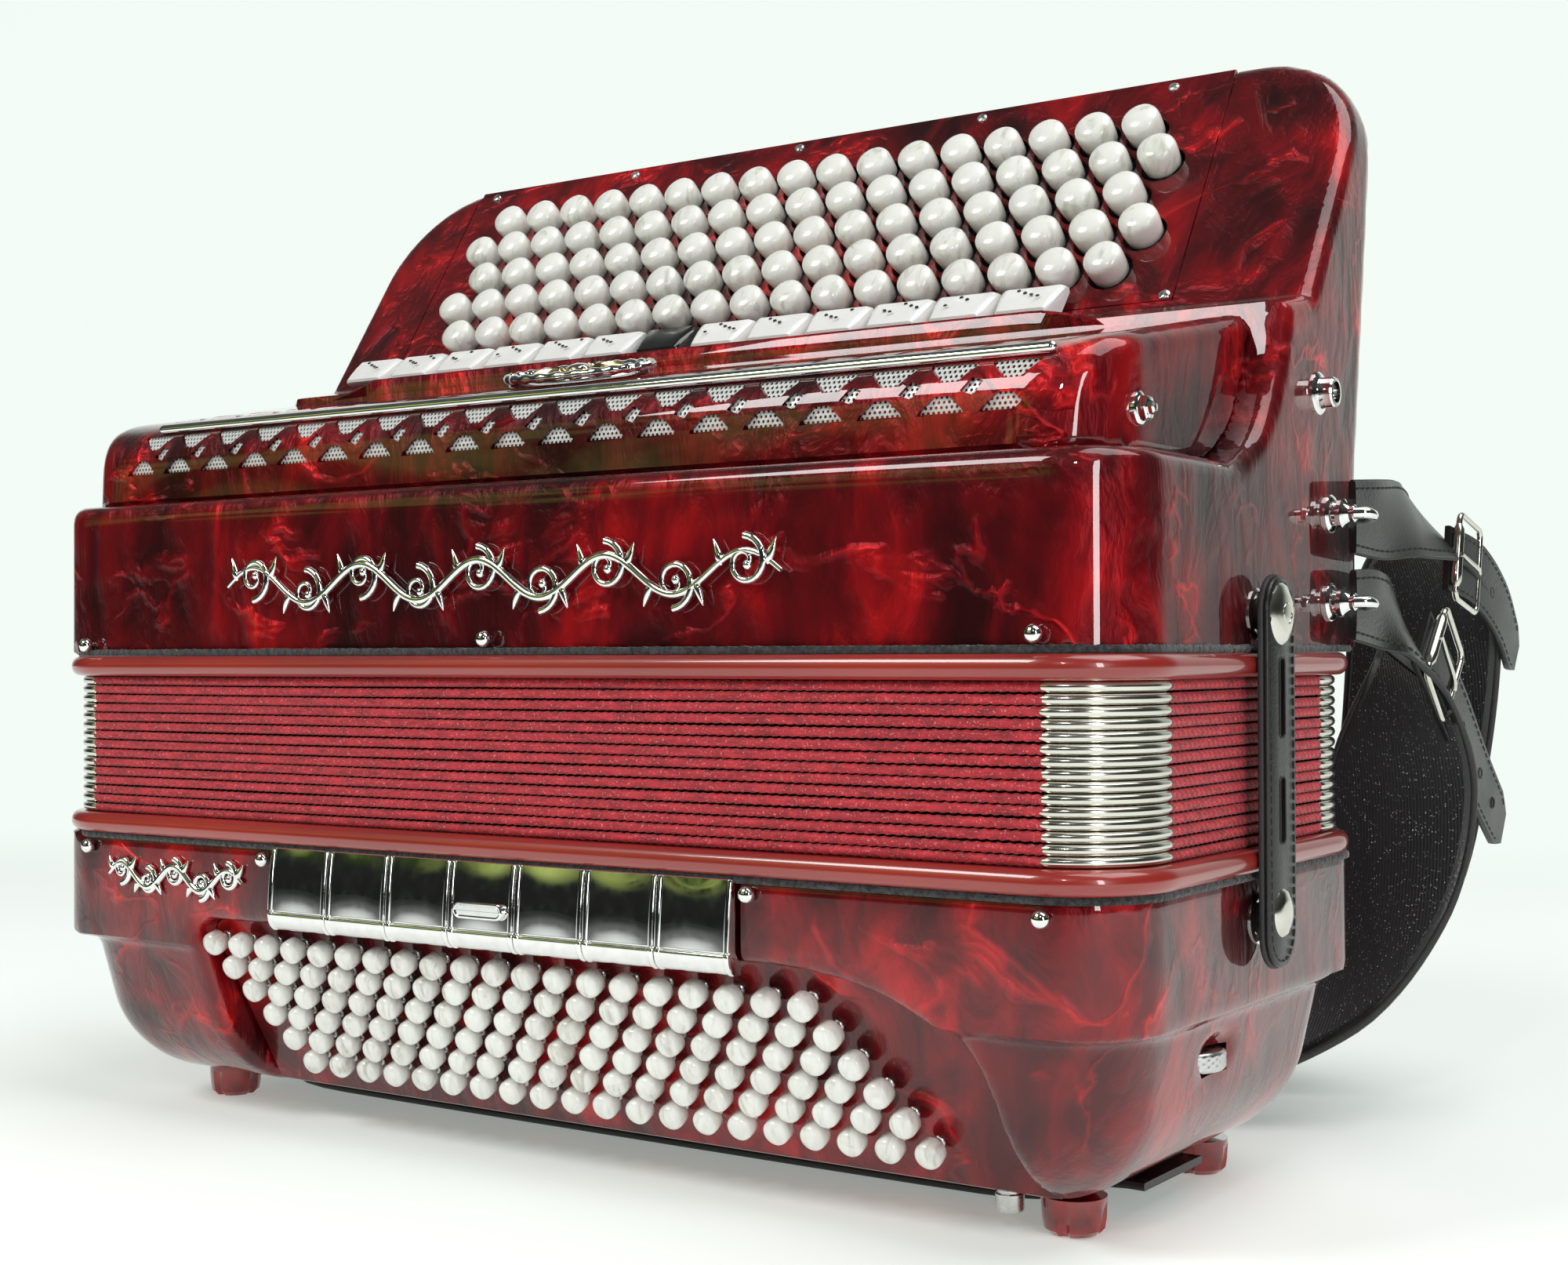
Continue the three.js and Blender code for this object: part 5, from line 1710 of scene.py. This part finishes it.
def strap_tail(which, side, end):
    """A narrow leather tail, pointed at its end, with stitched edges and punched holes."""
    tail = TAILS[which]
    path, across, out = flat_band(tail["points"], tail["across"])
    t = np.linspace(0, 1, len(path))
    width = np.interp(t, np.linspace(0, 1, len(tail["widths"])), tail["widths"])
    width *= np.sqrt(np.clip((1.04 - t) / 0.12, 0.05, 1))
    band = (path, across, out, width, np.full(len(path), TAIL_THICKNESS))
    body = band_loft(band, lambda w, t: crowned(w, t, 0.0, 7))
    make(f"strap_tail_{which}_{end}", handed(body, side), LEATHER, "treble", 60, "strap_padding")
    threads = flat_seams([values[:-1] for values in band], 2.2, 1.02, 3.0, 1.3, 0.36, 0.05)
    for x, y, z in tail["holes"]:
        threads.append(tube([(x + 0.9, b, c) for b, c in ring(y, z, 1.9, 16)], 0.4, 6, True))
    make(f"strap_tail_{which}_{end}_stitches", handed(join(threads), side), THREAD, "treble")


def buckle(which, side, end):
    """A roller buckle: a bent wire frame, a tube round its bar, and a prong."""
    shape = BUCKLES[which]
    span, reach = shape["span"], BUCKLE_LENGTH / 2
    frame_wire = [(x, y, 0) for x, y in rounded(span, BUCKLE_LENGTH, 3.2, 5)]
    parts = [tube(frame_wire, 1.15, 10, closed=True)]
    roller_axis = [(x, reach, 0) for x in np.linspace(3.0 - span / 2, span / 2 - 3.0, 9)]
    parts.append(tube(roller_axis, [0.6, 2.1, 2.2, 2.15, 2.15, 2.15, 2.2, 2.1, 0.6], 14))
    prong = [(0, -reach, 0.4), (0, -reach / 2, 1.7), (0, reach / 2, 1.9), (0, reach + 1.5, 2.2)]
    parts.append(tube(spline(prong, 12), np.linspace(1.2, 0.7, 12), 8))
    place = facing(*shape["centre"], np.cross(shape["along"], shape["across"]), shape["across"])
    make(f"strap_buckle_{which}_{end}", handed(moved(join(parts), place), side), NICKEL, "treble")


def strap_hooks(side, end):
    """The bent hooks that hold the two straps to their studs."""
    hooks = []
    for z in STUD_HEIGHTS:
        route = [(234.5, 162, z), (238.3, 163.5, z), (239.0, 168, z - 0.6), (236.2, 173, z - 1.2)]
        route.append((233.2, 176, z - 1.5))
        hooks.append(tube(spline(route, 16), np.linspace(2.1, 1.5, 16), 10))
    make(f"strap_hooks_{end}", handed(join(hooks), side), CHROME, "treble", 50)


def strap_ends():
    for side, end in SIDES:
        for fitting in (strap_tail, buckle):
            for which in ("upper", "lower"):
                fitting(which, side, end)
        strap_hooks(side, end)


HAND_STRAP_Y = 104
HAND_STRAP_WIDTH = 56
HAND_STRAP_THICKNESS = 2.53
HAND_STRAP_HALF = [(0, 2.5), (120, 2.6), (158, 3.4), (172, 6.8), (182, 9.6), (196, 9.8)]


def hand_strap():
    """The wide strap under the bass end, and the keepers round its ends."""
    line = [(-x, HAND_STRAP_Y, z) for x, z in HAND_STRAP_HALF[:0:-1]]
    line += [(x, HAND_STRAP_Y, z) for x, z in HAND_STRAP_HALF]
    path, across, out = flat_band(line, (0, 1, 0))
    width = HAND_STRAP_WIDTH - 12 * np.clip((np.abs(path[:, 0]) - 165) / 25, 0, 1)
    band = (path, across, out, width, np.full(len(path), HAND_STRAP_THICKNESS))
    shape = band_loft(band, crowned)
    body = make("hand_strap_leather", shape, LEATHER, "bass", 60, "strap_leather", ["hand_strap"])
    make("hand_strap_stitches", join(flat_seams(band, 3, 1.3, 3.2, 1.4, 0.35, 0.0)), THREAD, "bass")
    angles = np.linspace(0, 2 * np.pi, 32, False)
    keepers = []
    for x in (-178, 178):
        keeper = [(x, HAND_STRAP_Y + 27 * math.cos(a), 8.6 + 2.6 * math.sin(a)) for a in angles]
        keepers.append(tube(keeper, 1.5, 8, closed=True))
    make("hand_strap_keepers", join(keepers), EDGE, "bass")


def finish_cad_nodes():
    """Materials for the CAD nodes that stay in the finished model."""
    kept = {"bass_reed_block": WOOD, "treble_reed_block": WOOD, "bass_bottom_plate": PEARLOID}
    for name, material in kept.items():
        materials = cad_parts[name].data.materials
        materials.clear()
        materials.append(material)


add_camera()
light_scene()
treble_case()
bass_case()
bellows()
case_pins()
grille_cover()
grille_screen()
grille_strip()
badge()
shelf_lip()
scrollwork()
treble_plate()
treble_buttons()
board_screws()
for tab in range(1, TABS + 1):
    register_tab(tab)
bass_plate()
bass_buttons()
for switch in range(1, SWITCHES + 1):
    bass_register(switch)
feet()
air_button()
strap_wheel()
end_hardware()
bellows_straps()
shoulder_strap("shoulder_strap_upper", UPPER_STRAP, 90)
shoulder_strap("shoulder_strap_lower", LOWER_STRAP, 80)
strap_ends()
hand_strap()
finish_cad_nodes()
